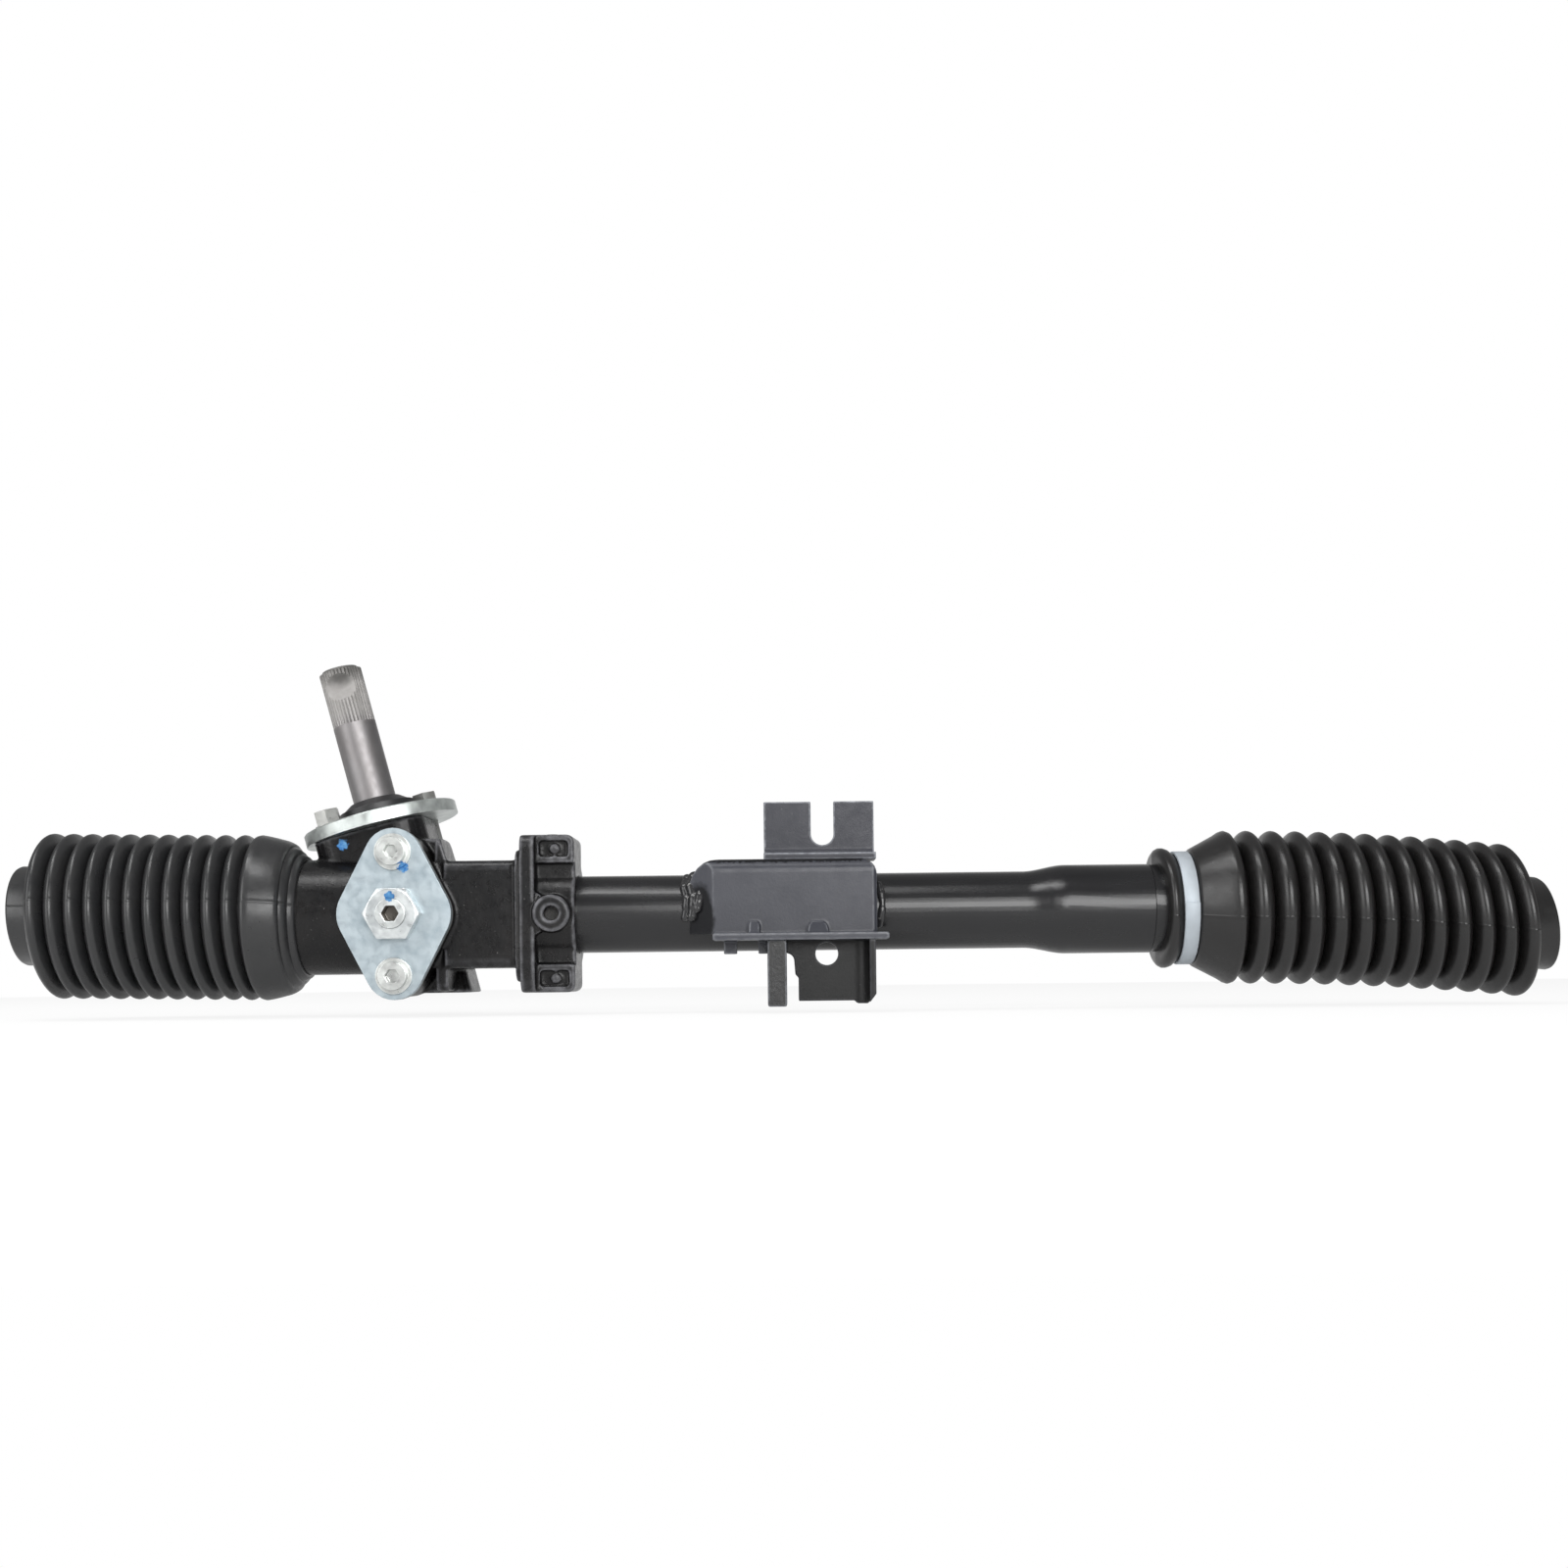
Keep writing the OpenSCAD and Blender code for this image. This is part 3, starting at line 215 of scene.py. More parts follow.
    def relief(self, height, depth):
        """Adds a bump of that depth in metres on top of the ones before it."""
        node = self.tree.nodes.new("ShaderNodeBump")
        node.inputs["Distance"].default_value = depth
        node.inputs["Strength"].default_value = 1
        self.tree.links.new(height, node.inputs["Height"])
        if self.bump:
            self.tree.links.new(self.bump, node.inputs["Normal"])
        self.bump = node.outputs["Normal"]
        self.tree.links.new(self.bump, self.shader.inputs["Normal"])

    def colour_from(self, source):
        self.tree.links.new(source, self.shader.inputs["Base Color"])

    def roughness_from(self, source):
        self.tree.links.new(source, self.shader.inputs["Roughness"])

    def put_on(self, piece):
        piece.data.materials.clear()
        piece.data.materials.append(self.material)


def on_cad(finish, *nodes):
    """Gives the finish to solids of the frame that stay as they are."""
    for node in nodes:
        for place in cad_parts[node].material_slots:
            place.material = finish.material


iron_black = (0.0035, 0.0035, 0.004)
iron_warm = (0.0095, 0.0088, 0.0088)
iron_edge_highlight = (0.11, 0.11, 0.118)
iron_speck = (0.16, 0.155, 0.15)
dot_blue = (0.035, 0.16, 0.42)
dot_pale = (0.13, 0.33, 0.58)
housing_dot = Vector((-316.3, -12.5, 29.7)) * mm
housing_dot_radius = 2.6 * mm

housing = soft_copy("gear_housing", "pinion_housing_casting", 0.62 * mm, 4)
cast_paint = Finish("cast_iron_paint", iron_black, 0.3)
cast_paint.set("Specular IOR Level", 0.28)
cast_tone = cast_paint.colours(cast_paint.noise(14 * mm, 3), [(0.35, iron_black), (0.7, iron_warm)])
# Painted highlights: the casting's outward edges are lightened grey, in patches, where its paint is also
# worn.
edge_highlight_patches = cast_paint.spread(cast_paint.noise(4 * mm), 0.3, 0.65, 0.15, 1)
edge_highlight_share = cast_paint.calc("MULTIPLY", cast_paint.lit_and_worn_edges(0.504, 0.524), edge_highlight_patches)
cast_tone = cast_paint.mix(edge_highlight_share, cast_tone, iron_edge_highlight)
specks = cast_paint.spread(cast_paint.noise(0.9 * mm, 2), 0.73, 0.76, 0, 0.7)
cast_tone = cast_paint.mix(specks, cast_tone, iron_speck)
dot_tone = cast_paint.colours(cast_paint.noise(1.6 * mm, 3), [(0.35, dot_blue), (0.65, dot_pale)])
dot_share = cast_paint.blob(housing_dot, housing_dot_radius, 0.6 * mm)
cast_paint.colour_from(cast_paint.mix(dot_share, cast_tone, dot_tone))
cast_paint.roughness_from(cast_paint.wander(0.24, 0.36, 3 * mm))
cast_paint.relief(cast_paint.noise(0.9 * mm, 3), 0.07 * mm)
cast_paint.relief(cast_paint.noise(5 * mm, 2), 0.12 * mm)
cast_paint.put_on(housing)

# Steel tube: drawn tube, flared at its right end on a mandrel, sprayed with gloss black.
# A steel pin in the casting's boss holds it, and a nylon bush in its end carries the rack.

tube_black = (0.006, 0.006, 0.0068)
tube_grey = (0.0095, 0.0095, 0.0105)
tube_paint = Finish("tube_gloss_paint", tube_black, 0.28)
tube_clouds = tube_paint.noise(25 * mm, 3, (3, 1, 1))
tube_paint.colour_from(tube_paint.colours(tube_clouds, [(0.3, tube_black), (0.75, tube_grey)]))
tube_paint.roughness_from(tube_paint.wander(0.23, 0.29, 6 * mm, 4, (5, 1, 1)))
tube_paint.set("Specular IOR Level", 0.5)
tube_paint.relief(tube_paint.noise(1.6 * mm, 2), 0.02 * mm)

tube_radius = 16 * mm
flare_radius = 18.5 * mm
flare_from = -34.5 * mm
flare_to = -17 * mm
flare_length = flare_to - flare_from
flare_rings = 24
flare_slack = 0.001
seat_end = 18 * mm
seat_ring_gap = 0.25 * mm
left_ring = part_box("steel_tube")[0].x + 0.4 * mm

rings_at = [flare_from + flare_length * i / flare_rings for i in range(flare_rings + 1)]
rings_at += [left_ring, seat_end - seat_ring_gap, seat_end + seat_ring_gap]
tube_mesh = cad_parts["steel_tube"].data.copy()
drawn = bmesh.new()
drawn.from_mesh(tube_mesh)
bmesh.ops.remove_doubles(drawn, verts=drawn.verts, dist=0.005 * mm)
for ring_at in rings_at:
    everything = drawn.verts[:] + drawn.edges[:] + drawn.faces[:]
    bmesh.ops.bisect_plane(drawn, geom=everything, plane_co=(ring_at, 0, 0), plane_no=(1, 0, 0))
drawn.normal_update()
for point in drawn.verts:
    share = (point.co.x - flare_from) / flare_length
    outward = Vector((0, point.co.y, point.co.z))
    in_flare = -flare_slack < share < 1 + flare_slack
    if in_flare and point.normal.dot(outward) > 0 and outward.length > 0:
        radius = tube_radius + (flare_radius - tube_radius) * share * share * (3 - 2 * share)
        point.co.y *= radius / outward.length
        point.co.z *= radius / outward.length
drawn.to_mesh(tube_mesh)
drawn.free()
shade_smooth(tube_mesh)
tube_mesh.set_sharp_from_angle(angle=math.radians(30))
tube_mesh.normals_split_custom_set([(0, 0, 0)] * len(tube_mesh.loops))
tube = linked("steel_tube_flared", tube_mesh)
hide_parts("steel_tube")
tube_paint.put_on(tube)

# The pin is coloured near black, with lighter flecks here and there.
pin_black = (0.018, 0.0175, 0.017)
pin_fleck_tone = (0.1, 0.085, 0.07)
pin_finish = Finish("pin_steel_black", pin_black, 0.5)
pin_flecks = pin_finish.spread(pin_finish.noise(0.8 * mm), 0.5, 0.66, 0, 0.6)
pin_finish.colour_from(pin_finish.mix(pin_flecks, pin_black, pin_fleck_tone))
pin_finish.relief(pin_finish.noise(0.5 * mm), 0.05 * mm)
on_cad(pin_finish, "tube_lock_pin")

bush_nylon = Finish("bush_nylon", (0.72, 0.68, 0.58), 0.5)
bush_nylon.relief(bush_nylon.noise(1 * mm, 4, (6, 1, 1)), 0.03 * mm)
bush_nylon.set("Subsurface Weight", 0.1)
bush_nylon.set("Subsurface Radius", (0.002, 0.0015, 0.001))
on_cad(bush_nylon, "rack_bush")

# Rack bar: ground steel bar with its teeth milled across the back and a thread in each end.
# It slides in the casting and the bush, with a film of grease on it.

greased_dark = (0.33, 0.31, 0.28)
greased_light = (0.47, 0.455, 0.43)
rack_steel = Finish("rack_ground_steel", greased_dark, 0.3, 1.0)
grease_film = rack_steel.noise(18 * mm, 4, (3, 1, 1))
rack_steel.colour_from(rack_steel.colours(grease_film, [(0.3, greased_dark), (0.7, greased_light)]))
rack_steel.roughness_from(rack_steel.wander(0.22, 0.38, 2 * mm, 4, (0.25, 4, 4)))
rack_steel.relief(rack_steel.noise(0.4 * mm, 3, (0.4, 6, 6)), 0.01 * mm)
on_cad(rack_steel, "rack_bar")

# Pinion shaft: turned, hobbed and rolled steel with a brown-grey phosphate on its long neck.
# It turns in a ball bearing of three pieces with a circlip over it, and in a bronze bush at its foot.

neck_dark = (0.225, 0.213, 0.213)
neck_light = (0.275, 0.268, 0.272)
splines_dark = (0.285, 0.275, 0.265)
splines_light = (0.34, 0.33, 0.322)
tip_dark = (0.1, 0.097, 0.092)
splines_reach = 27 * mm
tip_reach = 11 * mm
ball_shaped = (1, 1, 1)
shaft_low, shaft_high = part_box("pinion_shaft")
shaft_tip = Vector((shaft_low.x + 9 * mm, (shaft_low.y + shaft_high.y) / 2, shaft_high.z - 2 * mm))

shaft_steel = Finish("shaft_turned_steel", neck_dark, 0.38, 1.0)
neck_clouds = shaft_steel.noise(9 * mm, 4, (1, 1, 3))
neck_tone = shaft_steel.colours(neck_clouds, [(0.3, neck_dark), (0.7, neck_light)])
splines_tone = shaft_steel.colours(shaft_steel.noise(3 * mm), [(0.3, splines_dark), (0.7, splines_light)])
splines_share = shaft_steel.blob(shaft_tip, splines_reach, 0.3 * mm, ball_shaped)
tip_blob = shaft_steel.blob(shaft_tip, tip_reach, 0.6 * mm, ball_shaped)
tip_share = shaft_steel.calc("MULTIPLY", tip_blob, 0.85)
shaft_tone = shaft_steel.mix(splines_share, neck_tone, splines_tone)
shaft_steel.colour_from(shaft_steel.mix(tip_share, shaft_tone, tip_dark))
neck_rough = shaft_steel.wander(0.42, 0.52, 2.5 * mm)
splines_rough = shaft_steel.calc("MULTIPLY", splines_share, 0.16)
shaft_steel.roughness_from(shaft_steel.calc("ADD", neck_rough, splines_rough))
shaft_metallic = shaft_steel.spread(splines_share, 0, 1, 0.95, 0.6)
shaft_steel.tree.links.new(shaft_metallic, shaft_steel.shader.inputs["Metallic"])
shaft_steel.relief(shaft_steel.noise(0.35 * mm, 3, (4, 4, 0.5)), 0.012 * mm)
on_cad(shaft_steel, "pinion_shaft")

bearing_steel = Finish("bearing_steel", (0.62, 0.62, 0.61), 0.16, 1.0)
bearing_steel.roughness_from(bearing_steel.wander(0.1, 0.22, 1.5 * mm))
on_cad(bearing_steel, "bearing_inner_ring", "bearing_balls", "bearing_outer_ring")

spring_steel = Finish("spring_steel", (0.16, 0.16, 0.18), 0.35, 1.0)
spring_steel.relief(spring_steel.noise(0.6 * mm), 0.02 * mm)
on_cad(spring_steel, "bearing_circlip", "yoke_spring")

bush_bronze = Finish("bush_bronze", (0.5, 0.31, 0.13), 0.45, 1.0)
bush_bronze.relief(bush_bronze.noise(0.3 * mm, 2), 0.04 * mm)
on_cad(bush_bronze, "lower_bush")

# Pinion cover: thick zinc-plated steel disc on the tower, held by two flanged hex bolts.
# An oil seal is pressed into it, and a black rubber cap covers the seal and grips the shaft.


def with_broken_edges(node, name, width, sharp=32):
    """The frame's solid again with its sharp edges broken, as a machined or blanked piece has them."""
    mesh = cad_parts[node].data.copy()
    work = bmesh.new()
    work.from_mesh(mesh)
    bmesh.ops.remove_doubles(work, verts=work.verts, dist=0.005 * mm)
    bmesh.ops.dissolve_limit(work, angle_limit=math.radians(0.4), verts=work.verts, edges=work.edges)
    work.to_mesh(mesh)
    work.free()
    piece = linked(name, mesh)
    edges = piece.modifiers.new("edges", "BEVEL")
    edges.width = width
    edges.segments = 2
    edges.limit_method = "ANGLE"
    edges.angle_limit = math.radians(sharp)
    apply_modifiers(piece)
    shade_smooth(piece.data)
    piece.data.set_sharp_from_angle(angle=math.radians(sharp))
    flats = piece.modifiers.new("flats", "WEIGHTED_NORMAL")
    flats.keep_sharp = True
    apply_modifiers(piece)
    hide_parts(node)
    return piece


socket_dark_brown = (0.075, 0.06, 0.045)


def zinc_finish(name, light, dark, rough, dots=(), hollow=None):
    """Zinc plate: a milky blue-white metal, clouded where the bath ran off it.
    Paint dots are (centre, radius). What lies deeper than the hollow's y, in a socket, is coloured dark
    brown."""
    zinc = Finish(name, light, rough, 0.82)
    tone = zinc.colours(zinc.noise(6 * mm, 6), [(0.32, dark), (0.6, light)])
    tone = zinc.mix(zinc.spread(zinc.noise(1.2 * mm), 0.6, 0.7, 0, 0.3), tone, dark)
    for centre, radius in dots:
        paint = zinc.colours(zinc.noise(1.5 * mm, 3), [(0.35, dot_blue), (0.65, dot_pale)])
        tone = zinc.mix(zinc.blob(centre, radius, radius * 0.3), tone, paint)
    if hollow:
        tone = zinc.mix(zinc.calc("MULTIPLY", zinc.behind(hollow), 0.9), tone, socket_dark_brown)
    zinc.colour_from(tone)
    zinc.roughness_from(zinc.wander(rough - 0.07, rough + 0.09, 3 * mm, 5))
    zinc.relief(zinc.noise(0.8 * mm, 3), 0.02 * mm)
    return zinc


plate = with_broken_edges("pinion_cover_plate", "pinion_cover_disc", 0.5 * mm)
plate_zinc = zinc_finish("plate_zinc", (0.62, 0.66, 0.64), (0.42, 0.45, 0.44), 0.36)
plate_zinc.put_on(plate)

plate_bolts = with_broken_edges("pinion_cover_bolts", "pinion_cover_hex_bolts", 0.3 * mm)
screw_zinc = zinc_finish("screw_zinc", (0.42, 0.425, 0.41), (0.25, 0.25, 0.24), 0.34)
screw_zinc.put_on(plate_bolts)

seal_rubber = Finish("seal_rubber", (0.014, 0.014, 0.015), 0.42)
seal_rubber.relief(seal_rubber.noise(0.7 * mm), 0.03 * mm)
on_cad(seal_rubber, "pinion_oil_seal")
cap = with_broken_edges("pinion_dust_cap", "pinion_rubber_cap", 0.4 * mm)
seal_rubber.put_on(cap)

# Yoke and its cover: a die-cast yoke with a spring presses the rack into the pinion.
# A fibre gasket and a zinc-plated diamond close it, with two socket screws, an adjuster and its lock nut.
# Two dots of blue paint mark it: one over the upper screw and the cover, one over the nut and the adjuster.

yoke_metal = Finish("yoke_die_cast", (0.5, 0.51, 0.52), 0.4, 1.0)
yoke_metal.relief(yoke_metal.noise(1.2 * mm), 0.05 * mm)
on_cad(yoke_metal, "support_yoke")

gasket_fibre = Finish("gasket_fibre", (0.11, 0.095, 0.08), 0.85)
gasket_fibre.relief(gasket_fibre.noise(0.5 * mm, 5), 0.06 * mm)
on_cad(gasket_fibre, "yoke_cover_gasket")

mark_radius = 2.3 * mm
cover = with_broken_edges("yoke_cover", "yoke_diamond_cover", 0.55 * mm, sharp=40)
cover_low, cover_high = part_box("yoke_cover")
cover_mark = Vector(((cover_low.x + cover_high.x) / 2 + 4.1 * mm, cover_low.y, 18.6 * mm)), mark_radius
cover_zinc = zinc_finish("cover_zinc", (0.42, 0.48, 0.51), (0.315, 0.375, 0.41), 0.42, [cover_mark])
cover_zinc.put_on(cover)

nut_low, nut_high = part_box("adjuster_lock_nut")
nut_mark = Vector(((nut_low.x + nut_high.x) / 2 - 0.2 * mm, nut_low.y, 6.6 * mm)), mark_radius
nut_zinc = zinc_finish("nut_zinc", (0.68, 0.71, 0.71), (0.48, 0.51, 0.52), 0.32, [nut_mark])
lock_nut = with_broken_edges("adjuster_lock_nut", "yoke_lock_nut", 0.35 * mm)
nut_zinc.put_on(lock_nut)

adjuster = with_broken_edges("adjuster_screw", "yoke_adjuster_screw", 0.4 * mm)
adjuster_light = (0.68, 0.71, 0.7)
adjuster_dark = (0.48, 0.5, 0.5)
socket_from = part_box("adjuster_screw")[0].y + 0.8 * mm
adjuster_zinc = zinc_finish("adjuster_zinc", adjuster_light, adjuster_dark, 0.32, [nut_mark], socket_from)
adjuster_zinc.put_on(adjuster)

cover_screws = with_broken_edges("yoke_cover_screws", "yoke_cover_socket_screws", 0.3 * mm)
socket_zinc = zinc_finish("socket_screw_zinc", (0.68, 0.7, 0.68), (0.46, 0.47, 0.46), 0.32, [cover_mark])
socket_zinc.put_on(cover_screws)

# Bracket: four pressings of thick sheet, welded to each other and to the tube, sprayed black.
# The press rounds their bends. Their edges are lightened grey as painted highlights, where the spray also
# lies thinner.
# Painted shade makes the channel darker and duller at its left end and along its top.

spray_speck = (0.12, 0.12, 0.125)
painted_shade_black = (0.006, 0.006, 0.0065)


def bracket_finish(name, dark, light, rough, edge=0.11, shine=0.5, painted_shade=()):
    """Satin black spray on sheet, with edges of that grey: painted highlights, where the spray lies thinner.
    Painted shade is given as (centre, radius, squeeze); it is darker and less shiny there.
    """
    paint = Finish(name, dark, rough)
    tone = paint.colours(paint.noise(12 * mm), [(0.3, dark), (0.7, light)])
    # Painted highlights: outward edges are lightened to the edge grey, in patches.
    sheet_edge_patches = paint.spread(paint.noise(3 * mm), 0.3, 0.6, 0.3, 1)
    sheet_edge_highlight = paint.calc("MULTIPLY", paint.lit_and_worn_edges(0.504, 0.522), sheet_edge_patches)
    tone = paint.mix(sheet_edge_highlight, tone, (edge, edge * 1.04, edge * 1.15))
    tone = paint.mix(paint.spread(paint.noise(1.1 * mm, 3), 0.7, 0.74, 0, 0.5), tone, spray_speck)
    shine_outside_shade = 1
    # Painted shade: each patch is mixed towards near black, and its shine is lowered.
    for centre, radius, squeeze in painted_shade:
        shade_patch = paint.blob(centre, radius, 0.5 * mm, squeeze)
        tone = paint.mix(paint.calc("MULTIPLY", shade_patch, 0.9), tone, painted_shade_black)
        shine_outside_shade = paint.calc("SUBTRACT", shine_outside_shade, paint.calc("MULTIPLY", shade_patch, 0.75))
    paint.colour_from(tone)
    paint.set("Specular IOR Level", shine)
    if painted_shade:
        shine_here = paint.calc("MULTIPLY", shine_outside_shade, shine)
        paint.tree.links.new(shine_here, paint.shader.inputs["Specular IOR Level"])
    paint.roughness_from(paint.wander(rough - 0.06, rough + 0.08, 4 * mm))
    paint.relief(paint.noise(1.3 * mm, 3), 0.04 * mm)
    return paint


sheet_grain = 0.4 * mm
channel = soft_copy("bracket_channel", "bracket_pressed_channel", sheet_grain, 3)
tab = soft_copy("bracket_slot_tab", "bracket_slotted_tab", sheet_grain, 2)
post = soft_copy("bracket_post", "bracket_square_post", sheet_grain, 3)
hanger = soft_copy("bracket_hanger", "bracket_lower_hanger", sheet_grain, 2)

channel_low, channel_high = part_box("bracket_channel")
channel_middle = (channel_low.x + channel_high.x) / 2
# Painted shade at the channel's left end and along its top.
end_painted_shade = Vector((channel_low.x + 4.4 * mm, channel_low.y, -3 * mm)), 6.6 * mm, (1, 0.1, 0.4)
top_painted_shade = Vector((channel_middle, channel_low.y, channel_high.z + 0.6 * mm)), 2.4 * mm, (0.03, 0.03, 1)
channel_painted_shades = (end_painted_shade, top_painted_shade)
channel_dark = (0.022, 0.0235, 0.032)
channel_light = (0.031, 0.0325, 0.042)
channel_paint = bracket_finish("bracket_channel_paint", channel_dark, channel_light, 0.38, painted_shade=channel_painted_shades)
channel_paint.put_on(channel)

tab_dark = (0.02, 0.021, 0.029)
tab_light = (0.028, 0.029, 0.038)
# The tab's edges take a lighter grey: stronger painted highlights.
tab_paint = bracket_finish("bracket_tab_paint", tab_dark, tab_light, 0.38, edge=0.2, shine=0.38)
tab_paint.put_on(tab)

# Painted shade: the post, low down under the bracket, is coloured darker than the channel.
post_shaded_paint = bracket_finish("bracket_post_paint_shaded", (0.011, 0.011, 0.0115), (0.019, 0.019, 0.019), 0.42)
post_shaded_paint.relief(post_shaded_paint.noise(2.2 * mm), 0.15 * mm)
post_shaded_paint.put_on(post)

# Painted shade: the hanger sits behind and under the channel, and is coloured far darker, with little edge
# grey.
hanger_shade_dark = (0.005, 0.005, 0.0052)
hanger_shade_light = (0.009, 0.009, 0.009)
hanger_shaded_paint = bracket_finish("bracket_hanger_shaded_paint", hanger_shade_dark, hanger_shade_light, 0.36, edge=0.03, shine=0.3)
hanger_shaded_paint.put_on(hanger)

# Weld beads: three runs side by side round the tube at the channel's left end, and one at its right.
# Each is a row of drops that melted together, laid from over the tube down to its front, and sprayed over.

weld_black = (0.018, 0.018, 0.019)
weld_fleck_grey = (0.2, 0.195, 0.19)
weld_low, weld_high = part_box("bracket_welds")
weld_metal = bmesh.new()
for weld_x, axis_gap, first, last, drops, drop_radius in (
        (weld_low.x + 2.2 * mm, 16 * mm, 62, -8, 40, 1.9 * mm),
        (weld_low.x + 5.2 * mm, 17 * mm, 58, -6, 40, 2.5 * mm),
        (weld_low.x + 7.8 * mm, 18.6 * mm, 50, 4, 30, 1.9 * mm),
        (weld_high.x - 1.9 * mm, 16 * mm, 42, -22, 30, 1.6 * mm)):
    for i in range(drops):
        angle = math.radians(first + (last - first) * i / (drops - 1))
        swell = drop_radius * (1 + 0.13 * math.sin(0.42 * i + drops) + 0.04 * math.sin(1.1 * i))
        side = weld_x + 0.5 * mm * math.sin(0.2 * i + drops)
        centre = Vector((side, -axis_gap * math.cos(angle), axis_gap * math.sin(angle)))
        place = Matrix.Translation(centre)
        bmesh.ops.create_icosphere(weld_metal, subdivisions=3, radius=swell, matrix=place)
weld_mesh = bpy.data.meshes.new("weld_drops")
weld_metal.to_mesh(weld_mesh)
weld_metal.free()
welds = linked("bracket_weld_beads", weld_mesh)
wrap_in_skin(welds, 0.3 * mm, 12)
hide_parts("bracket_welds")
weld_paint = Finish("weld_paint", weld_black, 0.22)
# Lighter grey flecks are mixed into the black here and there.
weld_spots = weld_paint.spread(weld_paint.noise(2.4 * mm, 2), 0.68, 0.74, 0, 0.8)
weld_paint.colour_from(weld_paint.mix(weld_spots, weld_black, weld_fleck_grey))
weld_paint.relief(weld_paint.noise(1.5 * mm, 2), 0.04 * mm)
weld_paint.put_on(welds)

# Left boot: moulded rubber bellows over the casting's spigot, which it grips by a stepped cuff.
# Its folds are full with narrow grooves, and a thin parting line shows where the two mould halves met.

wall = 1.5 * mm
neck_wall = 3 * mm
outer_points = 14
inner_points = 8
inner_fullness = 0.45
seam_height = 0.13 * mm
seam_half = math.radians(0.5)
seam_floor = 20 * mm


def turned_skin(name, outline, place, seam=0.0, around=144):
    """A closed skin with that outline, given as (along, radius) points and turned round; place() bends it.
    A fine ridge runs along its outside at the seam's angle. At 0, the back, it takes no turns of its own."""
    turns = [2 * math.pi * i / around for i in range(around)]
    if seam:
        turns = [turn for turn in turns if abs(turn - seam) > 2 * seam_half]
        turns = sorted(turns + [seam - seam_half, seam, seam + seam_half])
    points = []
    for along, radius in outline:
        for turn in turns:
            ridge = seam_height if turn == seam and radius > seam_floor else 0
            points.append(place(along, radius + ridge, turn))
    faces = []
    for ring in range(len(outline)):
        here = ring * len(turns)
        there = (ring + 1) % len(outline) * len(turns)
        for i in range(len(turns)):
            following = (i + 1) % len(turns)
            faces.append((here + i, here + following, there + following, there + i))
    mesh = bpy.data.meshes.new(name)
    mesh.from_pydata(points, [], faces)
    work = bmesh.new()
    work.from_mesh(mesh)
    bmesh.ops.recalc_face_normals(work, faces=work.faces)
    work.to_mesh(mesh)
    work.free()
    shade_smooth(mesh)
    mesh.set_sharp_from_angle(angle=math.radians(50))
    return linked(name, mesh)


def profile(start, base, *steps):
    """Outline points, each given in millimetres along from the start and out from the base radius."""
    return [(start + along * mm, base + out * mm) for along, out in steps]


def fold_line(start, pitches, groove, crest, fullness, points):
    """The folds' outline: crests as full as the number says, with a narrow groove between each two."""
    line = []
    for pitch in pitches:
        for i in range(points):
            wave = (0.5 - 0.5 * math.cos(2 * math.pi * i / points)) ** fullness
            line.append((start + pitch * i / points, groove + (crest - groove) * wave))
        start += pitch
    return line


def boot_rubber(name, base, warm):
    """Black moulded rubber: satin, with a faint bloom and flow marks along the mould."""
    rubber = Finish(name, base, 0.4)
    rubber.colour_from(rubber.colours(rubber.noise(16 * mm), [(0.3, base), (0.7, warm)]))
    rubber.roughness_from(rubber.wander(0.27, 0.39, 4 * mm, 5))
    rubber.relief(rubber.noise(1.1 * mm), 0.03 * mm)
    return rubber


left_low, left_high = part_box("left_boot")
left_crest = left_high.z
left_groove = left_crest - 7.4 * mm
left_mouth = left_low.z + left_high.z + 24.02 * mm
left_folds = 11
left_pitches = [7.9 * mm] * left_folds
left_fullness = 0.3
left_folds_at = 21.2 * mm
left_folds_end = left_folds_at + sum(left_pitches)
left_end = left_high.x - left_low.x
left_neck = 20.75 * mm
left_straight = 10 * mm
left_rise = 0.019
left_lean = math.radians(1.9)
left_lean_over = 0.25

left_outline = profile(0, left_mouth, (0, 0), (0, 0.9), (0.5, 1.5), (1.9, 2.3), (2.6, 2.5), (2.9, 3.7),
                       (4.7, 5.2), (5.4, 5.5))
left_outline += profile(0, left_crest, (5.7, -3.7), (7, -2.9), (8.4, -2.3), (12.5, -1.2), (16, -0.4),
                        (18.2, 0), (19.4, -0.3), (20.2, -1.3), (20.6, -3.2))
left_outline += fold_line(left_folds_at, left_pitches, left_groove, left_crest,
                          left_fullness, outer_points)[:-1]
left_outline += profile(left_folds_end, left_neck, (-1.2, 8.5), (0.6, 4), (1.6, 0.6), (2.4, 0))
left_outline += profile(left_end, left_neck, (-1.2, 0), (-0.3, -0.4), (0, -1.2))
left_outline += [(left_end, left_neck - neck_wall), (left_folds_end + 1 * mm, left_neck - neck_wall)]
left_inner_folds = fold_line(left_folds_at + left_pitches[0], left_pitches[1:], left_groove,
                             left_crest - wall, inner_fullness, inner_points)
left_outline += [(along, radius - wall) for along, radius in reversed(left_inner_folds)]
left_outline += [(left_folds_at - 3 * mm, left_crest - 3 * mm), (9 * mm, left_crest - 4.5 * mm)]
left_outline += [(8 * mm, left_mouth)]


def left_place(along, radius, turn):
    """Past its cuff the boot climbs a little towards its open end, and its rings come to lean."""
    length = left_end - left_straight
    share = max(0, along - left_straight) / length
    across = radius * math.sin(turn)
    lean = math.sin(left_lean) * min(1, share / left_lean_over)
    return left_high.x - along - across * lean, radius * math.cos(turn), across + share * left_rise * length


left_boot = turned_skin("left_bellows", left_outline, left_place, math.radians(180 - 9.8))
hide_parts("left_boot")
left_rubber = boot_rubber("left_boot_rubber", (0.0155, 0.016, 0.017), (0.021, 0.021, 0.0215))
left_rubber.put_on(left_boot)

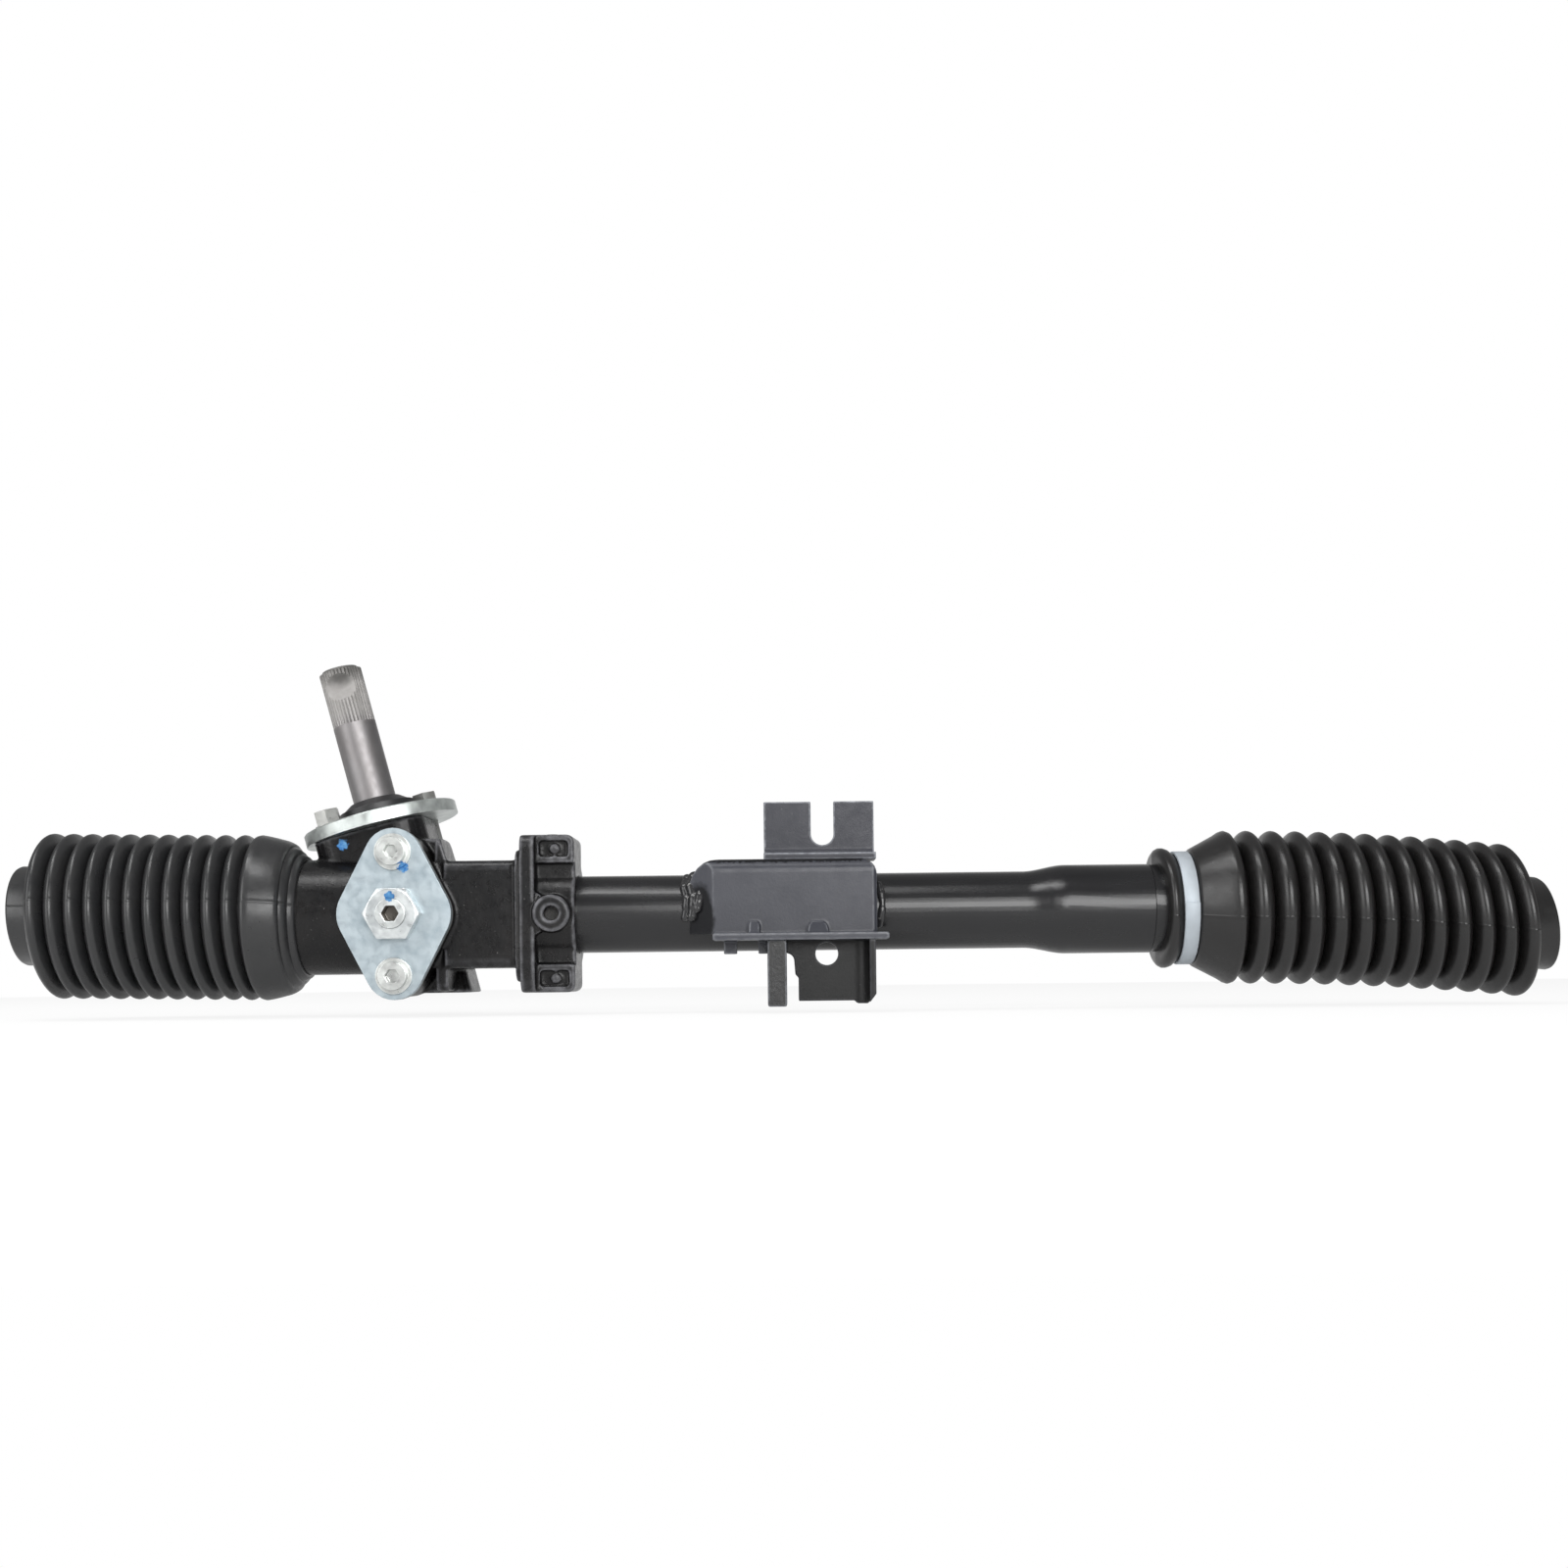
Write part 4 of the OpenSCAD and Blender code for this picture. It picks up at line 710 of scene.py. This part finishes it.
# Right boot: the same moulded rubber over the tube's flared end, with its parting line at the front too,
# coloured darker than the left boot as painted shade.
# It has a bead lip, a seat for the clamp's band, a cone, and folds that stand closer towards its open end.
# It sags under its own weight, as an arc.

right_low, right_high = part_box("right_boot")
right_start = right_low.x
right_crest = right_high.z
right_groove = right_crest - 7.2 * mm
right_land = 18.22 * mm
lip_radius = 25 * mm
lip_end = 9 * mm
lip_back = 0.22
lip_back_in_front = 0.28
band_seat = 22.5 * mm
cone_end = 32.4 * mm
right_folds = 12
right_fullness = 0.32
right_neck = 19.5 * mm
first_pitch = 10.4 * mm
last_pitch = 9.2 * mm
pitch_step = (last_pitch - first_pitch) / (right_folds - 1)
right_pitches = [first_pitch + pitch_step * fold for fold in range(right_folds)]
right_folds_at = cone_end + 3.6 * mm
right_folds_end = right_folds_at + sum(right_pitches)
right_end = right_folds_end + 10.5 * mm
sag_angle = math.radians(7.0)
sag_from = cone_end - 4 * mm
clamp_lean = math.radians(1.6)

right_outline = [(0, right_land)]
right_outline += profile(0, lip_radius, (0, -3.4), (0.5, -1.8), (1.6, -0.7), (3.2, 0), (5, 0),
                         (7.2, -0.6), (9, -1.7))
right_outline += profile(0, band_seat, (9.9, 0), (16.6, 0), (17, 1.4), (17.8, 2.2))
right_outline += profile(cone_end, right_crest, (-4.5, -1.9), (-2.4, -0.5), (-0.9, 0), (0.6, -0.5),
                         (1.8, -2.2), (2.8, -5))
right_outline += fold_line(right_folds_at, right_pitches, right_groove, right_crest,
                           right_fullness, outer_points)[:-3]
right_outline += profile(right_folds_end, right_neck, (-0.8, 7), (0.6, 3), (1.4, 0.6), (2.2, 0))
right_outline += profile(right_end, right_neck, (-1.2, 0), (-0.3, -0.4), (0, -1.2))
right_outline += [(right_end, right_neck - neck_wall), (right_folds_end + 1 * mm, right_neck - neck_wall)]
right_inner_folds = fold_line(right_folds_at, right_pitches, right_groove, right_crest - wall,
                              inner_fullness, inner_points)
right_outline += [(along, radius - wall) for along, radius in reversed(right_inner_folds)]
right_outline += [(cone_end - 2 * mm, right_crest - 3 * mm)]
right_outline += profile(0, right_land, (21, 3), (19.6, 0))


def right_place(along, radius, turn):
    """Its rings lean a little on the seat, and its lip is drawn back, most at the front.
    Beyond the cone it bends down as an arc."""
    front = max(0, -math.cos(turn))
    along += max(0, lip_end - along) * (lip_back + lip_back_in_front * front)
    over = max(0, along - sag_from)
    reach = right_end - sag_from
    lean = max(clamp_lean, sag_angle * over / reach)
    drop = sag_angle * over * over / (2 * reach)
    across = radius * math.sin(turn)
    x = right_start + along - across * math.sin(lean)
    return x, radius * math.cos(turn), across * math.cos(lean) - drop


right_boot = turned_skin("right_bellows", right_outline, right_place, math.radians(180 + 9))
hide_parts("right_boot")
# Painted shade: the right boot's rubber is coloured about half as bright as the left boot's.
right_rubber_shaded = boot_rubber("right_boot_rubber_shaded", (0.007, 0.0066, 0.0066), (0.01, 0.0094, 0.0094))
right_rubber_shaded.put_on(right_boot)

# Boot clamp: a band of zinc-plated strip, pulled tight behind the right boot's lip.
# Its outer end lies over the inner one at the front, and runs out a little below the middle.

band_low, band_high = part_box("right_boot_clamp")
band_inner = 22.6 * mm
band_outer = 23.65 * mm
band_edge = 0.3 * mm
band_wider = 0.35 * mm
band_from = band_low.x - right_start - band_wider
band_to = band_high.x - right_start + band_wider
lap_at = math.radians(180 - 3)
lap_turn = math.radians(26)
lap_height = 0.7 * mm


def band_place(along, radius, turn):
    """The outer end of the band lies on the lap and runs out below it."""
    past = (turn - lap_at) / lap_turn
    if radius > (band_inner + band_outer) / 2 and 0 <= past < 1:
        radius += lap_height * (1 - past)
    return right_place(along, radius, turn)


band_outline = [(band_from, band_inner), (band_from, band_outer - band_edge),
                (band_from + band_edge, band_outer), (band_to - band_edge, band_outer),
                (band_to, band_outer - band_edge), (band_to, band_inner)]
band = turned_skin("right_boot_band", band_outline, band_place, around=720)
band_zinc = zinc_finish("band_zinc", (0.42, 0.46, 0.495), (0.37, 0.405, 0.435), 0.6)
band_zinc.set("Metallic", 0.4)
band_zinc.put_on(band)
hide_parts("right_boot_clamp")

# Studio floor: a sheet of white paper, far wider than the picture shows.
# Far off it glows as white as the backdrop, to the camera and in reflections.
# Near the gear it glows less, so that it takes a faint shadow, and least in reflections.

floor_half = 40.0
floor_gap = 0.1 * mm
glow_near = 0.86
glow_lost_in_reflections = 0.5
glow_grows_from = 0.4
glow_full_at = 1.5
sheet_mesh = bpy.data.meshes.new("sweep")
corners = [(x * floor_half, y * floor_half, 0) for x, y in ((-1, -1), (1, -1), (1, 1), (-1, 1))]
sheet_mesh.from_pydata(corners, [], [(0, 1, 2, 3)])
floor = bpy.data.objects.new("studio_floor", sheet_mesh)
bpy.context.collection.objects.link(floor)
floor.location.z = cad_box[0].z - floor_gap

paper = Finish("studio_paper", (0.86, 0.86, 0.86), 0.9)
paper.set("Specular IOR Level", 0)
paper.put_on(floor)
ray = paper.tree.nodes.new("ShaderNodeLightPath").outputs
seen = ray["Is Camera Ray"]
for kind in ("Is Glossy Ray", "Is Transmission Ray"):
    seen = paper.calc("MAXIMUM", seen, ray[kind])
from_gear = paper.tree.nodes.new("ShaderNodeVectorMath")
from_gear.operation = "LENGTH"
paper.tree.links.new(paper.place, from_gear.inputs[0])
glow_lost = paper.calc("MULTIPLY", ray["Is Glossy Ray"], glow_lost_in_reflections)
near_share = paper.calc("SUBTRACT", glow_near, glow_lost)
far_share = paper.spread(from_gear.outputs["Value"], glow_grows_from, glow_full_at, 0, 1)
glow_share = paper.calc("MULTIPLY", seen, paper.calc("MAXIMUM", near_share, far_share))
glow = paper.tree.nodes.new("ShaderNodeEmission")
glow.inputs["Strength"].default_value = 1
lit_or_glowing = paper.tree.nodes.new("ShaderNodeMixShader")
paper.tree.links.new(glow_share, lit_or_glowing.inputs["Fac"])
paper.tree.links.new(paper.shader.outputs["BSDF"], lit_or_glowing.inputs[1])
paper.tree.links.new(glow.outputs["Emission"], lit_or_glowing.inputs[2])
paper.tree.links.new(lit_or_glowing.outputs["Shader"], paper.tree.nodes["Material Output"].inputs["Surface"])

# Studio room: white for the camera, and a white backdrop behind the gear in what its surfaces reflect.
# The rest of the room is darker there, so that gloss black shows as black.

room_dark = 0.28
room_white = 1
room_on_things = 0.4
backdrop_from = 0.82
backdrop_full = 0.98
world = bpy.data.worlds.new("studio_room")
bpy.context.scene.world = world
world.use_nodes = True
room = world.node_tree
backdrop = room.nodes["Background"]
backdrop.inputs["Color"].default_value = (1, 1, 1, 1)
direction = room.nodes.new("ShaderNodeSeparateXYZ")
room.links.new(room.nodes.new("ShaderNodeTexCoord").outputs["Generated"], direction.inputs[0])
towards_back = room.nodes.new("ShaderNodeMapRange")
towards_back.inputs["From Min"].default_value = backdrop_from
towards_back.inputs["From Max"].default_value = backdrop_full
towards_back.inputs["To Min"].default_value = room_dark
towards_back.inputs["To Max"].default_value = room_white
room.links.new(direction.outputs["Y"], towards_back.inputs["Value"])
level = towards_back.outputs["Result"]
room_ray = room.nodes.new("ShaderNodeLightPath").outputs
for kind, value in (("Is Diffuse Ray", room_on_things), ("Is Camera Ray", room_white)):
    choose = room.nodes.new("ShaderNodeMix")
    room.links.new(room_ray[kind], choose.inputs[0])
    room.links.new(level, choose.inputs[2])
    choose.inputs[3].default_value = value
    level = choose.outputs[0]
room.links.new(level, backdrop.inputs["Strength"])

# Lamps: a softbox stands high to the right of the camera and a broad one to its left.
# A long strip hangs over the gear's left half. Their places are metres from the gear's middle.

middle = Vector((-0.1345, 0, 0))


def soft_lamp(name, at, aim, size, power):
    """A lamp with a face of that width and height, turned from its place towards the aim."""
    light = bpy.data.lights.new(name, "AREA")
    light.shape = "RECTANGLE"
    light.size, light.size_y = size
    light.energy = power
    lamp = bpy.data.objects.new(name, light)
    bpy.context.collection.objects.link(lamp)
    lamp.location = middle + Vector(at)
    towards = Vector(aim) - Vector(at)
    lamp.rotation_euler = towards.to_track_quat("-Z", "Y").to_euler()


soft_lamp("lamp_softbox_right", (0.47, -1.45, 0.47), (0, 0, 0), (1.25, 0.66), 20)
soft_lamp("lamp_overhead_left", (-0.36, -0.3, 1.1), (-0.16, 0, 0), (1.0, 0.26), 6.5)
soft_lamp("lamp_panel_left", (-1.15, -0.85, 0.5), (0, 0, 0), (0.75, 1.1), 9)

# Camera: square to the rack and a little below it, as far off as the photograph was taken.
# It is rolled a little, and its picture reaches up, so that the gear lies below the middle of it.

distance = 770 * mm
frame_width = 656 * mm
camera_height = -25 * mm
roll = math.radians(-0.65)
film_width = 36
picture_up = 0.12
camera_data = bpy.data.cameras.new("camera")
camera_data.sensor_width = film_width
camera_data.lens = film_width * distance / frame_width
camera_data.shift_y = picture_up
camera = bpy.data.objects.new("camera", camera_data)
bpy.context.collection.objects.link(camera)
camera.location = (middle.x, -distance, camera_height)
camera.rotation_euler = (Matrix.Rotation(math.radians(90), 3, "X") @ Matrix.Rotation(roll, 3, "Z")).to_euler()
bpy.context.scene.camera = camera
bpy.context.scene.view_settings.view_transform = "Standard"
